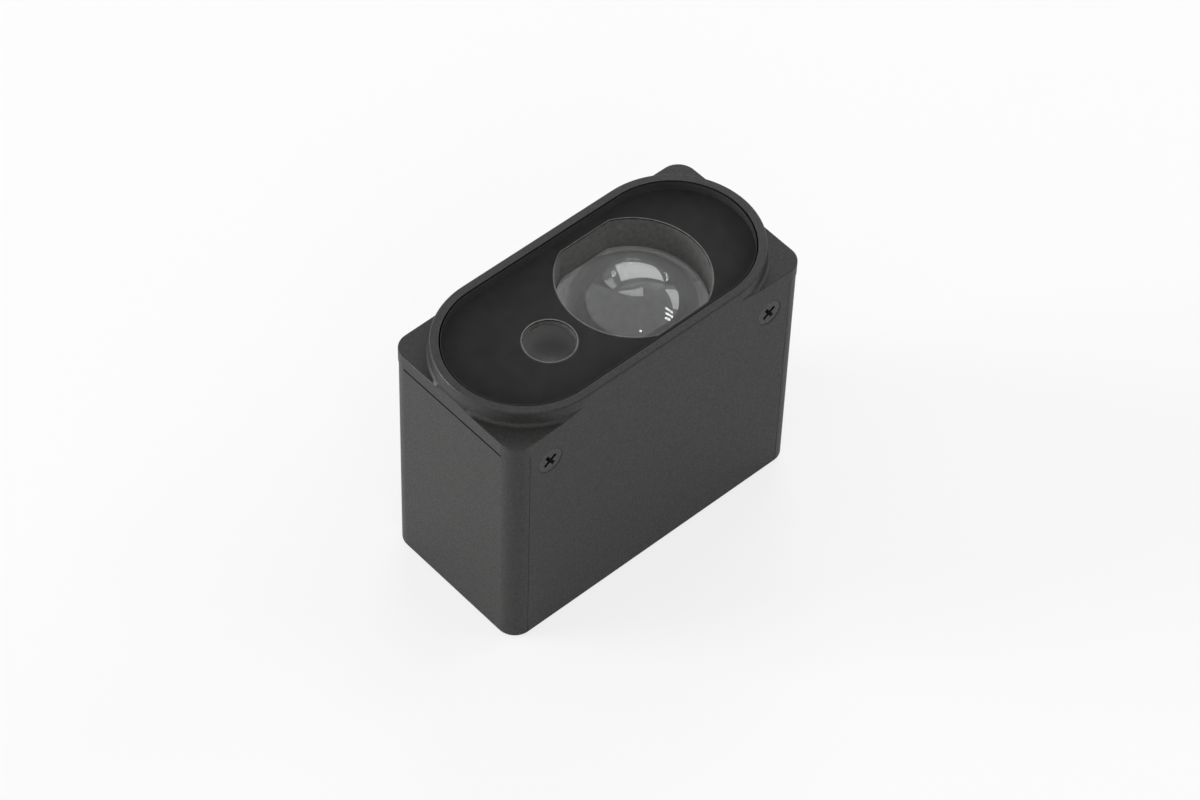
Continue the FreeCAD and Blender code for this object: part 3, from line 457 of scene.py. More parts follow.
matt_plastic = finish("holder_plastic")
mottle(matt_plastic, grain(matt_plastic, 0.5 * MM, 3.0), (0.106, 0.106, 0.102), (0.143, 0.143, 0.137))
relief(matt_plastic, grain(matt_plastic, 0.12 * MM, 2.0), 0.006 * MM)
wear(matt_plastic, grain(matt_plastic, 0.8 * MM, 2.0), 0.5, 0.68)

holder_mesh = merged_copy("optics_holder")
holder = shown("holder_block", holder_mesh)
weigh_normals(holder)
dress(holder, matt_plastic)
# Painted light: paler copies of the holder's plastic on the cone and the bore, for the light that reaches
# them through the lenses.
cone_painted_light = finish("cone_painted_light", Roughness=0.6)
mottle(cone_painted_light, grain(cone_painted_light, 0.5 * MM, 3.0), (0.5, 0.5, 0.495), (0.57, 0.57, 0.565))
bore_painted_light = finish("bore_painted_light", Roughness=0.6)
mottle(bore_painted_light, grain(bore_painted_light, 0.5 * MM, 3.0), (0.23, 0.23, 0.227), (0.27, 0.27, 0.267))
holder.data.materials.append(cone_painted_light)
holder.data.materials.append(bore_painted_light)
for face in holder.data.polygons:
    x, y, z = face.center
    in_cone = math.hypot(x - take_middle[0], y) < CONE_RADIUS and CONE_FOOT < z < CONE_TOP
    in_bore = math.hypot(x - send_middle[0], y - send_middle[1]) < BORE_RADIUS and z < BORE_TOP
    if in_cone:
        face.material_index = CONE_SLOT
    elif in_bore:
        face.material_index = BORE_SLOT
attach(holder, "root")
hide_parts("optics_holder")
print("holder faces:", len(holder.data.polygons))

# %% [markdown]
# ## The back of the receiving lens
# Every lamp shows twice on a lens: large on the dome, and small on the inside of its back. A flat back of
# plain glass would turn all light away at these angles and glare, so the back is a thin coat instead:
# clear, with a weak mirror. Its normal leans away from one point as a shallow bowl's does, which gives the
# second image its size and place.

# %% Coat on the lens's back
BACK_CURVE, MIRROR_SHARE = 112.0, 0.1
BOWL_MIDDLE = (take_middle[0] + 1.85 * MM, 1.42 * MM, 0)
lens_back = bpy.data.materials.new("lens_back")
lens_back.use_nodes = True
nodes, links = lens_back.node_tree.nodes, lens_back.node_tree.links
nodes.remove(nodes["Principled BSDF"])
place = nodes.new("ShaderNodeTexCoord")
offset = nodes.new("ShaderNodeVectorMath")
offset.operation = "SUBTRACT"
offset.inputs[1].default_value = BOWL_MIDDLE
links.new(place.outputs["Object"], offset.inputs[0])
bowl = nodes.new("ShaderNodeVectorMath")
bowl.operation = "MULTIPLY_ADD"
bowl.inputs[1].default_value = (-BACK_CURVE, -BACK_CURVE, 0)
bowl.inputs[2].default_value = (0, 0, 1)
links.new(offset.outputs[0], bowl.inputs[0])
even = nodes.new("ShaderNodeVectorMath")
even.operation = "NORMALIZE"
links.new(bowl.outputs[0], even.inputs[0])
mirror = nodes.new("ShaderNodeBsdfGlossy")
mirror.inputs["Roughness"].default_value = 0.0
links.new(even.outputs[0], mirror.inputs["Normal"])
clear = nodes.new("ShaderNodeBsdfTransparent")
mix = nodes.new("ShaderNodeMixShader")
mix.inputs[0].default_value = MIRROR_SHARE
links.new(clear.outputs[0], mix.inputs[1])
links.new(mirror.outputs[0], mix.inputs[2])
links.new(mix.outputs[0], nodes["Material Output"].inputs["Surface"])
print("lens back: bowl radius", round(1 / BACK_CURVE / MM, 1), "mm")

# %% [markdown]
# ## The receiving lens
# The lens is pressed glass: a dome on a stepped flange with two flats. A mesh for clear glass has to be
# fine and even, because every facet shows twice, once in the mirror image on the dome and once in what is
# seen through it. The profile is turned in 128 steps, and points beyond the flats are moved onto them,
# which cuts the flats exactly.

# %% Receiving lens
def turned(profile, centre, steps, flat=None):
    """Turns a profile of (radius, height) round an upright axis; radius 0 makes a closed pole."""
    mesh = bmesh.new()
    rows = []
    for radius, height in profile:
        if radius == 0:
            rows.append([mesh.verts.new((centre[0], centre[1], height))])
            continue
        row = []
        for i in range(steps):
            turn = 2 * math.pi * i / steps
            y = radius * math.sin(turn)
            if flat is not None:
                y = max(-flat, min(flat, y))
            row.append(mesh.verts.new((centre[0] + radius * math.cos(turn), centre[1] + y, height)))
        rows.append(row)
    for low_row, high_row in zip(rows, rows[1:]):
        for i in range(steps):
            j = (i + 1) % steps
            if len(low_row) == 1:
                mesh.faces.new((low_row[0], high_row[j], high_row[i]))
            elif len(high_row) == 1:
                mesh.faces.new((low_row[i], low_row[j], high_row[0]))
            else:
                mesh.faces.new((low_row[i], low_row[j], high_row[j], high_row[i]))
    bmesh.ops.recalc_face_normals(mesh, faces=mesh.faces)
    return mesh


def arc_profile(radius, base, rise, steps):
    """(radius, height) points of a dome from its foot to its pole."""
    ball = (radius * radius + rise * rise) / (2 * rise)
    spread = math.asin(radius / ball)
    points = []
    for i in range(steps + 1):
        turn = spread * (1 - i / steps)
        points.append((ball * math.sin(turn) if i < steps else 0, base + rise - ball * (1 - math.cos(turn))))
    return points


FLANGE, LENS_BEVEL, STEP, RUN = 1.2 * MM, 1.0 * MM, 0.69 * MM, 1.1 * MM
SEAT_GAP, FOOT_BEVEL, FLANGE_BEVEL = 0.02 * MM, 0.1 * MM, 0.15 * MM
LENS_STEPS, DOME_STEPS, LENS_SMOOTH = 128, 40, 25
GROUND_SLOT, BACK_SLOT = 1, 2
dome_foot = take_low.z + FLANGE + LENS_BEVEL
dome_radius = take_radius - STEP - RUN
lens_profile = [
    (0, take_low.z + SEAT_GAP),
    (take_radius * 0.5, take_low.z + SEAT_GAP),
    (take_radius - FOOT_BEVEL, take_low.z + SEAT_GAP),
    (take_radius, take_low.z + FOOT_BEVEL),
    (take_radius, take_low.z + FLANGE - FLANGE_BEVEL),
    (take_radius - FLANGE_BEVEL, take_low.z + FLANGE),
    (take_radius - STEP, take_low.z + FLANGE),
] + arc_profile(dome_radius, dome_foot, take_high.z - dome_foot, DOME_STEPS)
lens_mesh = turned(lens_profile, take_middle, LENS_STEPS, take_flat)

lens_glass = clear_glass("lens_glass", Coat_Weight=1.0, Coat_IOR=1.6, Coat_Roughness=0.0)
mottle(lens_glass, grain(lens_glass, 4.0 * MM, 1.0), (0.975, 0.985, 0.98), (0.985, 0.995, 0.99))
ground_glass = finish("ground_glass", Roughness=0.6)
mottle(ground_glass, grain(ground_glass, 0.1 * MM, 2.0), (0.3, 0.3, 0.295), (0.36, 0.36, 0.355))
for face in lens_mesh.faces:
    middle = face.calc_center_median()
    if face.normal.z < -0.9:
        face.material_index = BACK_SLOT
    if middle.z < take_low.z + FLANGE + 0.01 * MM and abs(face.normal.z) < 0.5:
        face.material_index = GROUND_SLOT
lens = shown("receiving_lens", lens_mesh, LENS_SMOOTH)
lens.data.materials.append(lens_glass)
lens.data.materials.append(ground_glass)
lens.data.materials.append(lens_back)
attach(lens, "root")
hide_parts("receiver_lens")
print("lens radius", round(take_radius / MM, 2), "mm, dome radius", round(dome_radius / MM, 2), "mm")
print("lens faces:", len(lens.data.polygons))

# %% [markdown]
# ## The sending lens
# The small lens has a flat front with the window's coat, and it is slightly hazy, so it shows as an even
# grey disc. It is turned in the same way, with its curved side towards the laser diode.

# %% Sending lens
BULGE, BULGE_RADIUS, SEND_BEVEL = 0.4 * MM, 2.6 * MM, 0.1 * MM
BULGE_STEPS, SMALL_LENS_STEPS = 10, 96
dome = arc_profile(BULGE_RADIUS, send_low.z, BULGE, BULGE_STEPS)
bulge = [(radius, 2 * send_low.z - z + BULGE) for radius, z in dome]
send_profile = list(reversed(bulge)) + [
    (send_radius, send_low.z + BULGE),
    (send_radius, send_high.z - SEND_BEVEL),
    (send_radius - SEND_BEVEL, send_high.z),
    (0, send_high.z),
]
send_lens = shown("sending_lens", turned(send_profile, send_middle, SMALL_LENS_STEPS), LENS_SMOOTH)
coated_glass = clear_glass("coated_glass", roughness=0.3, Specular_Tint=NO_MIRROR)
mottle(coated_glass, grain(coated_glass, 2.0 * MM, 1.0), (0.84, 0.855, 0.85), (0.86, 0.875, 0.87))
dress(send_lens, coated_glass)
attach(send_lens, "root")
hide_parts("emitter_lens")
print("sending lens radius", round(send_radius / MM, 2), "mm")

# %% [markdown]
# ## Node trees for what repeats
# Eight screws in three kinds and two rows of contacts differ only in sizes and places, so each family is
# one Geometry Nodes tree with named inputs. Both grow a closed form upwards from a small flat face: the top
# face is pulled up and scaled, again and again, as a lathe would step along a bar. Points say where each
# copy goes, and an attribute on the points says which way it looks. Realized and turned into a plain mesh,
# the copies are one piece.

# %% Tree helpers
def new_tree(name, sizes):
    """Makes a tree with one geometry input and named sizes; returns it with its input and output nodes."""
    tree = bpy.data.node_groups.new(name, "GeometryNodeTree")
    tree.interface.new_socket("Places", in_out="INPUT", socket_type="NodeSocketGeometry")
    for label, size in sizes.items():
        tree.interface.new_socket(label, in_out="INPUT", socket_type="NodeSocketFloat").default_value = size
    tree.interface.new_socket("Pieces", in_out="OUTPUT", socket_type="NodeSocketGeometry")
    return tree, tree.nodes.new("NodeGroupInput"), tree.nodes.new("NodeGroupOutput")


def feed(tree, socket, value):
    """Links a socket to the value if it is another socket, and sets it otherwise."""
    if isinstance(value, bpy.types.NodeSocket):
        tree.links.new(value, socket)
    else:
        socket.default_value = value


def sum_up(tree, operation, first, second):
    """Adds one Math node."""
    made = tree.nodes.new("ShaderNodeMath")
    made.operation = operation
    feed(tree, made.inputs[0], first)
    feed(tree, made.inputs[1], second)
    return made.outputs[0]


def disc(tree, sides, radius, height):
    """Starts a form: a flat face with so many sides, at a height."""
    circle = tree.nodes.new("GeometryNodeMeshCircle")
    circle.fill_type = "NGON"
    circle.inputs["Vertices"].default_value = sides
    feed(tree, circle.inputs["Radius"], radius)
    lift = tree.nodes.new("ShaderNodeCombineXYZ")
    feed(tree, lift.inputs["Z"], height)
    moved = tree.nodes.new("GeometryNodeTransform")
    tree.links.new(circle.outputs["Mesh"], moved.inputs["Geometry"])
    tree.links.new(lift.outputs[0], moved.inputs["Translation"])
    return moved.outputs[0]


def grow(tree, shape, top, rise, ratio=1.0):
    """Pulls the top face up by rise and scales it by ratio."""
    pull = tree.nodes.new("GeometryNodeExtrudeMesh")
    pull.inputs["Individual"].default_value = False
    tree.links.new(shape, pull.inputs["Mesh"])
    if top is not None:
        tree.links.new(top, pull.inputs["Selection"])
    up = tree.nodes.new("ShaderNodeCombineXYZ")
    feed(tree, up.inputs["Z"], rise)
    tree.links.new(up.outputs[0], pull.inputs["Offset"])
    pull.inputs["Offset Scale"].default_value = 1.0
    scale = tree.nodes.new("GeometryNodeScaleElements")
    tree.links.new(pull.outputs["Mesh"], scale.inputs["Geometry"])
    tree.links.new(pull.outputs["Top"], scale.inputs["Selection"])
    feed(tree, scale.inputs["Scale"], ratio)
    return scale.outputs[0], pull.outputs["Top"]


def close(tree, start, shape):
    """Adds the turned-over start face as the form's floor, and welds it on."""
    flip = tree.nodes.new("GeometryNodeFlipFaces")
    tree.links.new(start, flip.inputs[0])
    join = tree.nodes.new("GeometryNodeJoinGeometry")
    tree.links.new(flip.outputs[0], join.inputs[0])
    tree.links.new(shape, join.inputs[0])
    weld = tree.nodes.new("GeometryNodeMergeByDistance")
    tree.links.new(join.outputs[0], weld.inputs["Geometry"])
    weld.inputs["Distance"].default_value = WELD
    return weld.outputs[0]


def copy_to_places(tree, group_in, group_out, shape, made):
    """Puts the form on every place, turned to the place's outward direction, as real meshes."""
    look = tree.nodes.new("GeometryNodeInputNamedAttribute")
    look.data_type = "FLOAT_VECTOR"
    look.inputs["Name"].default_value = "outward"
    turn = tree.nodes.new("FunctionNodeAlignRotationToVector")
    turn.axis = "Z"
    tree.links.new(look.outputs[0], turn.inputs["Vector"])
    copies = tree.nodes.new("GeometryNodeInstanceOnPoints")
    tree.links.new(group_in.outputs["Places"], copies.inputs["Points"])
    tree.links.new(shape, copies.inputs["Instance"])
    tree.links.new(turn.outputs[0], copies.inputs["Rotation"])
    real = tree.nodes.new("GeometryNodeRealizeInstances")
    tree.links.new(copies.outputs[0], real.inputs[0])
    coat = tree.nodes.new("GeometryNodeSetMaterial")
    coat.inputs["Material"].default_value = made
    tree.links.new(real.outputs[0], coat.inputs["Geometry"])
    tree.links.new(coat.outputs[0], group_out.inputs["Pieces"])


def from_tree(name, tree, places, outward, sizes):
    """Runs a tree on a list of places and returns the result as a plain mesh object."""
    points = bpy.data.meshes.new(name + "_places")
    points.from_pydata(places, [], [])
    look = points.attributes.new("outward", "FLOAT_VECTOR", "POINT")
    for item, direction in zip(look.data, outward):
        item.vector = direction
    maker = bpy.data.objects.new(name + "_maker", points)
    bpy.context.scene.collection.objects.link(maker)
    modifier = maker.modifiers.new("tree", "NODES")
    modifier.node_group = tree
    sockets = {item.name: item.identifier for item in tree.interface.items_tree if item.in_out == "INPUT"}
    for label, size in sizes.items():
        modifier[sockets[label]] = size
    data = bpy.data.meshes.new_from_object(maker.evaluated_get(bpy.context.evaluated_depsgraph_get()))
    bpy.data.objects.remove(maker)
    data.name = name
    data.shade_smooth()
    data.set_sharp_from_angle(angle=math.radians(SMOOTH_ANGLE))
    piece = bpy.data.objects.new(name, data)
    bpy.context.scene.collection.objects.link(piece)
    return piece


print("tree helpers ready")

# %% [markdown]
# ## The screws
# The case is held by four countersunk screws, blackened and set a hair below the paint. A screw grows from
# its tip: shank, cone, head, and a fine bevel on the head's rim. Two crossed, tapering cutters then sink
# the cross recess, the one place where a boolean is simpler than any other way. The recess and the head's
# rim get a darker finish that hardly shines: painted shade, for the shadow that falls into the recess and
# round the rim. The straight-headed screws inside come from the same tree.

# %% Screw tree
SCREW_SIZES = {
    "Head radius": 1.75 * MM,
    "Cone": 0.77 * MM,
    "Head rise": 0.0,
    "Shank radius": 0.98 * MM,
    "Length": 4.6 * MM,
    "Recess reach": 1.05 * MM,
    "Recess width": 0.5 * MM,
    "Recess depth": 0.7 * MM,
    "Recess turn": math.radians(33),
}
RIM_BEVEL, RIM_SHARE = 0.07 * MM, 0.96
TIP_SHARE, TIP_RISE, SCREW_SIDES = 0.8, 0.2 * MM, 40
ARM_TOP, ARM_FOOT, ARM_DEPTH = 1.12, 0.62, 1.5


def cross_cutter(tree, group_in, quarter):
    """One arm of the cross: a four-sided cone, set square, made narrow, turned and put at the head's face."""
    cone = tree.nodes.new("GeometryNodeMeshCone")
    cone.inputs["Vertices"].default_value = 4
    reach = sum_up(tree, "MULTIPLY", group_in.outputs["Recess reach"], math.sqrt(2))
    feed(tree, cone.inputs["Radius Top"], sum_up(tree, "MULTIPLY", reach, ARM_TOP))
    feed(tree, cone.inputs["Radius Bottom"], sum_up(tree, "MULTIPLY", reach, ARM_FOOT))
    feed(tree, cone.inputs["Depth"], sum_up(tree, "MULTIPLY", group_in.outputs["Recess depth"], ARM_DEPTH))
    square = tree.nodes.new("GeometryNodeTransform")
    square.inputs["Rotation"].default_value = (0, 0, math.radians(45))
    tree.links.new(cone.outputs["Mesh"], square.inputs["Geometry"])
    narrow = tree.nodes.new("GeometryNodeTransform")
    thin = tree.nodes.new("ShaderNodeCombineXYZ")
    thin.inputs["X"].default_value = thin.inputs["Z"].default_value = 1.0
    half = sum_up(tree, "DIVIDE", group_in.outputs["Recess width"], group_in.outputs["Recess reach"])
    feed(tree, thin.inputs["Y"], sum_up(tree, "MULTIPLY", half, 0.5))
    tree.links.new(thin.outputs[0], narrow.inputs["Scale"])
    tree.links.new(square.outputs[0], narrow.inputs["Geometry"])
    put = tree.nodes.new("GeometryNodeTransform")
    spot, angle = tree.nodes.new("ShaderNodeCombineXYZ"), tree.nodes.new("ShaderNodeCombineXYZ")
    sunk = sum_up(tree, "SUBTRACT", group_in.outputs["Head rise"], group_in.outputs["Recess depth"])
    feed(tree, spot.inputs["Z"], sunk)
    feed(tree, angle.inputs["Z"], sum_up(tree, "ADD", group_in.outputs["Recess turn"], math.radians(quarter)))
    tree.links.new(spot.outputs[0], put.inputs["Translation"])
    tree.links.new(angle.outputs[0], put.inputs["Rotation"])
    tree.links.new(narrow.outputs[0], put.inputs["Geometry"])
    return put.outputs[0]


def screw_tree(name, made):
    """Makes the tree of a cross-recess screw with a conical or a straight head."""
    tree, group_in, group_out = new_tree(name, SCREW_SIZES)
    size = group_in.outputs
    tip = sum_up(tree, "MULTIPLY", size["Shank radius"], TIP_SHARE)
    start = disc(tree, SCREW_SIDES, tip, sum_up(tree, "MULTIPLY", size["Length"], -1.0))
    shape, top = grow(tree, start, None, TIP_RISE, 1 / TIP_SHARE)
    straight = sum_up(tree, "SUBTRACT", sum_up(tree, "SUBTRACT", size["Length"], size["Cone"]), TIP_RISE)
    shape, top = grow(tree, shape, top, straight)
    widen = sum_up(tree, "DIVIDE", size["Head radius"], size["Shank radius"])
    shape, top = grow(tree, shape, top, size["Cone"], widen)
    side = sum_up(tree, "MAXIMUM", sum_up(tree, "SUBTRACT", size["Head rise"], RIM_BEVEL), 0.0)
    shape, top = grow(tree, shape, top, side)
    rest = sum_up(tree, "MINIMUM", size["Head rise"], RIM_BEVEL)
    shape, top = grow(tree, shape, top, rest, RIM_SHARE)
    whole = close(tree, start, shape)
    cut = tree.nodes.new("GeometryNodeMeshBoolean")
    cut.operation = "DIFFERENCE"
    cut.solver = "EXACT"
    tree.links.new(whole, cut.inputs["Mesh 1"])
    for quarter in (0, 90):
        tree.links.new(cross_cutter(tree, group_in, quarter), cut.inputs["Mesh 2"])
    copy_to_places(tree, group_in, group_out, cut.outputs["Mesh"], made)
    return tree


print("screw tree ready")

# %% Case screws
RECESS_OUT, RECESS_TOP, RECESS_FLOOR, RIM_OUT = 1.2 * MM, 0.01 * MM, 0.8 * MM, 1.69 * MM
MANY_CORNERS = 20

black_steel = finish("black_steel", Metallic=0.85)
mottle(black_steel, grain(black_steel, 0.25 * MM, 3.0), (0.035, 0.035, 0.035), (0.075, 0.074, 0.07))
wear(black_steel, grain(black_steel, 0.15 * MM, 3.0), 0.28, 0.45)
bright_steel = finish("bright_steel", Metallic=1.0)
mottle(bright_steel, grain(bright_steel, 0.3 * MM, 3.0), (0.5, 0.49, 0.47), (0.66, 0.65, 0.63))
wear(bright_steel, grain(bright_steel, 0.12 * MM, 2.0), 0.24, 0.4)

low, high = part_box("cover_screws")
column = high.x - SCREW_SIZES["Head radius"]
level = (low.z + high.z) / 2
cover_places = [(x, y, level) for y in (low.y, high.y) for x in (-column, column)]
cover_screws = from_tree(
    "case_screws",
    screw_tree("screw", black_steel),
    cover_places,
    [(0, math.copysign(1, y), 0) for x, y, z in cover_places],
    {},
)
# Painted shade: a near-black, barely shining finish on the recess and the head's rim, for the shadow that
# falls into them.
recess_painted_shade = finish("recess_painted_shade", Roughness=0.3, Specular_IOR_Level=0.1)
mottle(recess_painted_shade, grain(recess_painted_shade, 0.1 * MM, 2.0), (0.002, 0.002, 0.002), (0.007, 0.007, 0.007))
cover_screws.data.materials.append(recess_painted_shade)
shade_slot = len(cover_screws.data.materials) - 1
for face in cover_screws.data.polygons:
    x, y, z = face.center
    axis = min(cover_places, key=lambda place: (Vector(place) - face.center).length)
    out, depth = math.hypot(x - axis[0], z - axis[2]), abs(axis[1]) - abs(y)
    sunk = out < RECESS_OUT and RECESS_TOP < depth < RECESS_FLOOR and len(face.vertices) < MANY_CORNERS
    if sunk or out > RIM_OUT:
        face.material_index = shade_slot
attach(cover_screws, "root")
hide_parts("cover_screws")
print("case screws:", len(cover_places), "with", len(cover_screws.data.polygons), "faces")

# %% Screws inside
HEAD_RADIUS, INNER_HEAD = SCREW_SIZES["Head radius"], 1.2 * MM
inner_tree = screw_tree("inner_screw", bright_steel)
for node, name, side, length in (
    ("sensor_board_screws", "sensor_board_screw_pair", -1, 5.5 * MM),
    ("main_board_screws", "main_board_screw_pair", 1, 3.4 * MM),
):
    low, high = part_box(node)
    x, y = high.x - HEAD_RADIUS, high.y - HEAD_RADIUS
    under_head = (low.z + INNER_HEAD) if side < 0 else (high.z - INNER_HEAD)
    places = [(-x, -y, under_head), (x, y, under_head)]
    sizes = {"Cone": 0.0, "Head rise": INNER_HEAD, "Length": length, "Recess turn": 0.3}
    pair = from_tree(name, inner_tree, places, [(0, 0, side)] * 2, sizes)
    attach(pair, "root")
    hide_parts(node)
    print(name, len(pair.data.polygons), "faces")

# %% [markdown]
# ## The contacts
# Each row of contacts is a square gold-plated pin with a pointed tip at both ends, repeated at the pitch of
# the connector. The tree of the pins is the screws' tree without the recess, with four sides instead of
# forty.

# %% Contact rows
PIN_SIZES = {"Side": 0.5 * MM, "Length": 2.6 * MM, "Tip": 0.25 * MM}
PIN_SIDES, TIP_WIDTH, CONTACTS = 4, 0.5, 8
gold = finish("contact_gold", Metallic=1.0)
mottle(gold, grain(gold, 0.4 * MM, 2.0), (0.66, 0.46, 0.18), (0.78, 0.58, 0.28))
wear(gold, grain(gold, 0.1 * MM, 2.0), 0.18, 0.35)

pin_tree, group_in, group_out = new_tree("contact_pin", PIN_SIZES)
size = group_in.outputs
corner = sum_up(pin_tree, "MULTIPLY", size["Side"], math.sqrt(0.5))
start = disc(pin_tree, PIN_SIDES, sum_up(pin_tree, "MULTIPLY", corner, TIP_WIDTH), 0.0)
shape, top = grow(pin_tree, start, None, size["Tip"], 1 / TIP_WIDTH)
middle = sum_up(pin_tree, "SUBTRACT", size["Length"], sum_up(pin_tree, "MULTIPLY", size["Tip"], 2.0))
shape, top = grow(pin_tree, shape, top, middle)
shape, top = grow(pin_tree, shape, top, size["Tip"], TIP_WIDTH)
upright = pin_tree.nodes.new("GeometryNodeTransform")
upright.inputs["Rotation"].default_value = (0, 0, math.radians(45))
pin_tree.links.new(close(pin_tree, start, shape), upright.inputs["Geometry"])
copy_to_places(pin_tree, group_in, group_out, upright.outputs[0], gold)

for node, name in (("connector_pins", "connector_contacts"), ("header_pins", "header_contacts")):
    low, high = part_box(node)
    side = PIN_SIZES["Side"]
    across = [low.x + side / 2 + (high.x - low.x - side) * i / (CONTACTS - 1) for i in range(CONTACTS)]
    places = [(x, (low.y + high.y) / 2, low.z) for x in across]
    row = from_tree(name, pin_tree, places, [(0, 0, 1)] * CONTACTS, {"Length": high.z - low.z})
    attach(row, "root")
    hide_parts(node)
    print(name, len(row.data.polygons), "faces")

# %% [markdown]
# ## What lies inside
# The remaining pieces keep their solids, because nothing of their shape is missing, and get the finish of
# what they are: solder mask over glass fibre for the boards, dull moulding compound for the chips, sintered
# ferrite for the coil, and so on. The weave of the boards and the brushing of the metal can are stretched
# noises.

# %% Boards, chips and other inner pieces
def plain_pieces(made, *nodes):
    """Gives CAD nodes a finish, and says which."""
    for node in nodes:
        dress(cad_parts[node], made)
    print(made.name, "on", ", ".join(nodes))


solder_mask = finish("solder_mask", Roughness=0.35, Coat_Weight=0.3)
mottle(solder_mask, grain(solder_mask, 0.5 * MM, 2.0, (1, 6, 1)), (0.008, 0.055, 0.022), (0.014, 0.09, 0.04))
relief(solder_mask, grain(solder_mask, 0.5 * MM, 1.0, (6, 1, 1)), 0.01 * MM)
plain_pieces(solder_mask, "sensor_board", "main_board")

moulding = finish("chip_moulding", Roughness=0.55)
mottle(moulding, grain(moulding, 0.08 * MM, 3.0), (0.015, 0.015, 0.017), (0.032, 0.032, 0.034))
relief(moulding, grain(moulding, 0.05 * MM, 2.0), 0.004 * MM)
plain_pieces(moulding, "timing_chip", "processor_chip")

ferrite = finish("ferrite", Roughness=0.6)
mottle(ferrite, grain(ferrite, 0.15 * MM, 4.0), (0.06, 0.06, 0.065), (0.12, 0.12, 0.125))
plain_pieces(ferrite, "power_inductor")

ceramic = finish("detector_ceramic", Roughness=0.5)
mottle(ceramic, grain(ceramic, 0.2 * MM, 3.0), (0.56, 0.54, 0.49), (0.66, 0.64, 0.6))
plain_pieces(ceramic, "photodetector")

can_metal = finish("can_metal", Metallic=1.0)
mottle(can_metal, grain(can_metal, 0.6 * MM, 2.0, (1, 1, 8)), (0.48, 0.43, 0.33), (0.62, 0.57, 0.47))
wear(can_metal, grain(can_metal, 0.2 * MM, 2.0, (1, 1, 6)), 0.22, 0.42)
plain_pieces(can_metal, "laser_diode")

black_nylon = finish("connector_nylon", Roughness=0.5)
mottle(black_nylon, grain(black_nylon, 0.6 * MM, 3.0), (0.015, 0.015, 0.015), (0.03, 0.03, 0.03))
relief(black_nylon, grain(black_nylon, 0.15 * MM, 2.0), 0.006 * MM)
plain_pieces(black_nylon, "connector_shell", "board_header", "board_socket")

rubber = finish("seal_rubber", Roughness=0.75)
mottle(rubber, grain(rubber, 0.4 * MM, 3.0), (0.028, 0.028, 0.029), (0.045, 0.045, 0.046))
plain_pieces(rubber, "connector_seal")

bond = finish("bond_film", Roughness=0.4)
mottle(bond, grain(bond, 0.8 * MM, 2.0), (0.013, 0.013, 0.013), (0.026, 0.026, 0.026))
plain_pieces(bond, "window_gasket")

filter_face = finish("filter_face", Roughness=0.12)
mottle(filter_face, grain(filter_face, 2.0 * MM, 1.0), (0.1, 0.1, 0.105), (0.125, 0.125, 0.122))
plain_pieces(filter_face, "bandpass_filter")

# %% [markdown]
# ## The floor, the sky and the lamps
# The sensor stands on a white floor. The side faces are steep to the eye, so what they show is mostly the
# floor's reflection, and it darkens towards their feet where the sensor shades the floor. For the eye and
# for mirrors the floor is partly lit by itself, so that it goes white while the sensor's shadow stays. The
# room is pale grey all round, except for a dark wall behind the sensor where the window mirrors the room.
# Three planes bound that wall.

# %% Floor
FLOOR_HALF, FLOOR_DROP = 3.0, 0.02 * MM
OWN_LIGHT = {"Is Camera Ray": 0.75, "Is Transmission Ray": 0.75, "Is Glossy Ray": 0.1}
FLOOR_WHITE = 0.97

floor_mesh = bmesh.new()
bmesh.ops.create_grid(floor_mesh, x_segments=1, y_segments=1, size=FLOOR_HALF)
floor = shown("floor", floor_mesh)
floor.location.z = -FLOOR_DROP
floor_paint = finish("floor_paint", Roughness=0.9, Specular_IOR_Level=0.0)
mottle(floor_paint, grain(floor_paint, 0.4, 2.0), (0.87, 0.87, 0.87), (0.89, 0.89, 0.89))
nodes, links = floor_paint.node_tree.nodes, floor_paint.node_tree.links
path = nodes.new("ShaderNodeLightPath")
share = None
for ray, amount in OWN_LIGHT.items():
    part = nodes.new("ShaderNodeMath")
    part.operation = "MULTIPLY"
    part.inputs[1].default_value = amount
    links.new(path.outputs[ray], part.inputs[0])
    if share is None:
        share = part.outputs[0]
        continue
    more = nodes.new("ShaderNodeMath")
    more.operation = "MAXIMUM"
    links.new(share, more.inputs[0])
    links.new(part.outputs[0], more.inputs[1])
    share = more.outputs[0]
glow = nodes.new("ShaderNodeEmission")
glow.inputs["Color"].default_value = (FLOOR_WHITE, FLOOR_WHITE, FLOOR_WHITE, 1)
mix = nodes.new("ShaderNodeMixShader")
links.new(share, mix.inputs[0])
links.new(nodes["Principled BSDF"].outputs[0], mix.inputs[1])
links.new(glow.outputs[0], mix.inputs[2])
links.new(mix.outputs[0], nodes["Material Output"].inputs["Surface"])
dress(floor, floor_paint)
print("floor:", 2 * FLOOR_HALF, "m wide, own light", OWN_LIGHT)

# %% Room
ROOM, BACKDROP, FADE = 0.68, 0.15, 0.01
BORDERS = ((0.237, 0.804, -0.545), (0.999, -0.035, 0.0), (-0.122, 0.9925, 0.0))

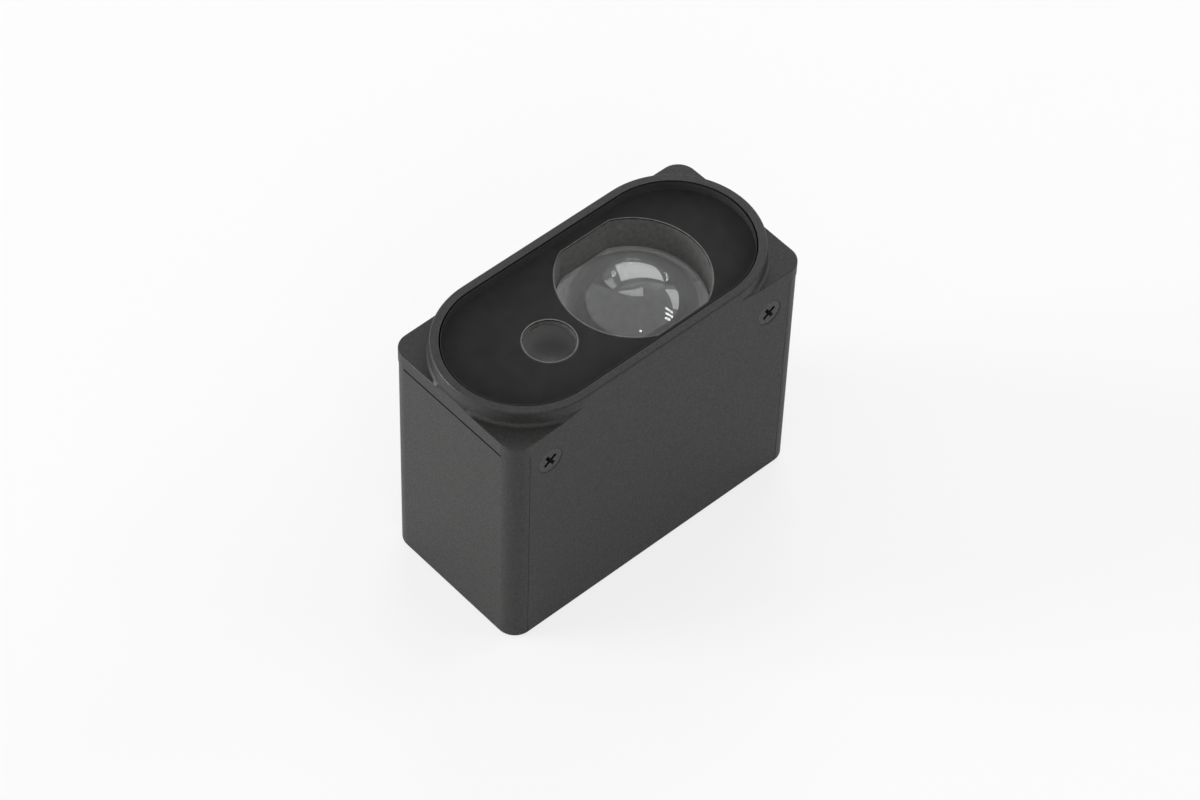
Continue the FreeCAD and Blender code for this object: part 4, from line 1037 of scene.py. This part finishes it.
world = bpy.data.worlds.new("studio_sky")
bpy.context.scene.world = world
world.use_nodes = True
nodes, links = world.node_tree.nodes, world.node_tree.links
direction = nodes.new("ShaderNodeTexCoord")
inside = None
for border in BORDERS:
    within = nodes.new("ShaderNodeVectorMath")
    within.operation = "DOT_PRODUCT"
    within.inputs[1].default_value = border
    links.new(direction.outputs["Generated"], within.inputs[0])
    if inside is None:
        inside = within.outputs["Value"]
        continue
    least = nodes.new("ShaderNodeMath")
    least.operation = "MINIMUM"
    links.new(inside, least.inputs[0])
    links.new(within.outputs["Value"], least.inputs[1])
    inside = least.outputs[0]
fade = nodes.new("ShaderNodeMapRange")
for socket, value in zip(("From Min", "From Max", "To Min", "To Max"), (-FADE, FADE, ROOM, BACKDROP)):
    fade.inputs[socket].default_value = value
links.new(inside, fade.inputs["Value"])
links.new(fade.outputs["Result"], nodes["Background"].inputs["Color"])
print("room:", ROOM, "dark wall:", BACKDROP)

# %% [markdown]
# ## The lamps
# A dome mirrors every lamp, so the bright shapes on the real lens tell where its lamps were: a ray from the
# eye to each shape's corner was turned at the dome to find them. The large shape is a leaning softbox
# behind the sensor, the three bars are strip lamps side by side, and the dot is a round lamp. The other
# softboxes even out the case: a low one on the left lights the short face, one on the right grazes the long
# face and brightens the dome's right side, and a weak one in front, whose image the case hides, fills the
# far walls of the recess.

# %% Lamps
AIM = Vector((0, 0, 0.02))


def softbox(name, turn, height, distance, width, tall, level, roll=0.0):
    """Adds a rectangular lamp that faces the sensor; turn goes from the front (-Y) to the right (+X)."""
    lamp_data = bpy.data.lights.new(name, "AREA")
    lamp_data.shape = "RECTANGLE"
    lamp_data.size, lamp_data.size_y = width, tall
    lamp_data.energy = level * math.pi * width * tall
    lamp = bpy.data.objects.new(name, lamp_data)
    bpy.context.scene.collection.objects.link(lamp)
    a, e = math.radians(turn), math.radians(height)
    away = Vector((math.sin(a) * math.cos(e), -math.cos(a) * math.cos(e), math.sin(e)))
    lamp.location = AIM + away * distance
    facing = away.to_track_quat("Z", "Y") @ Quaternion((0, 0, 1), math.radians(roll))
    lamp.rotation_euler = facing.to_euler()
    return lamp


def leaning_softbox(name, place, along, up, width, tall, level):
    """Adds a rectangular lamp with its middle at place and its two sides along two unit vectors."""
    lamp = softbox(name, 0, 0, 1.0, width, tall, level)
    along, up = Vector(along), Vector(up)
    lamp.matrix_world = Matrix.Translation(place) @ Matrix((along, up, along.cross(up))).transposed().to_4x4()
    return lamp


leaning_softbox(
    "back_softbox", (0.792, 0.830, 0.401), (-0.644, 0.612, 0.458), (-0.517, -0.79, 0.329), 0.659, 1.171, 2.8
)
softbox("left_softbox", -130, 11, 1.2, 0.5, 0.5, 18.0)
softbox("right_softbox", 78, 25, 1.2, 0.5, 0.6, 2.5)
softbox("front_softbox", -35, 30, 1.2, 0.6, 0.6, 1.5)
STRIPS = ((58.1, 43.7, 73), (50.0, 43.6, 85), (42.3, 43.1, 95))
for number, (turn, height, roll) in enumerate(STRIPS, 1):
    softbox(f"strip_{number}", turn, height, 2.0, 0.355, 0.085, 9.0, roll)
softbox("round_lamp", -21.1, 57.2, 2.0, 0.09, 0.09, 12.0)
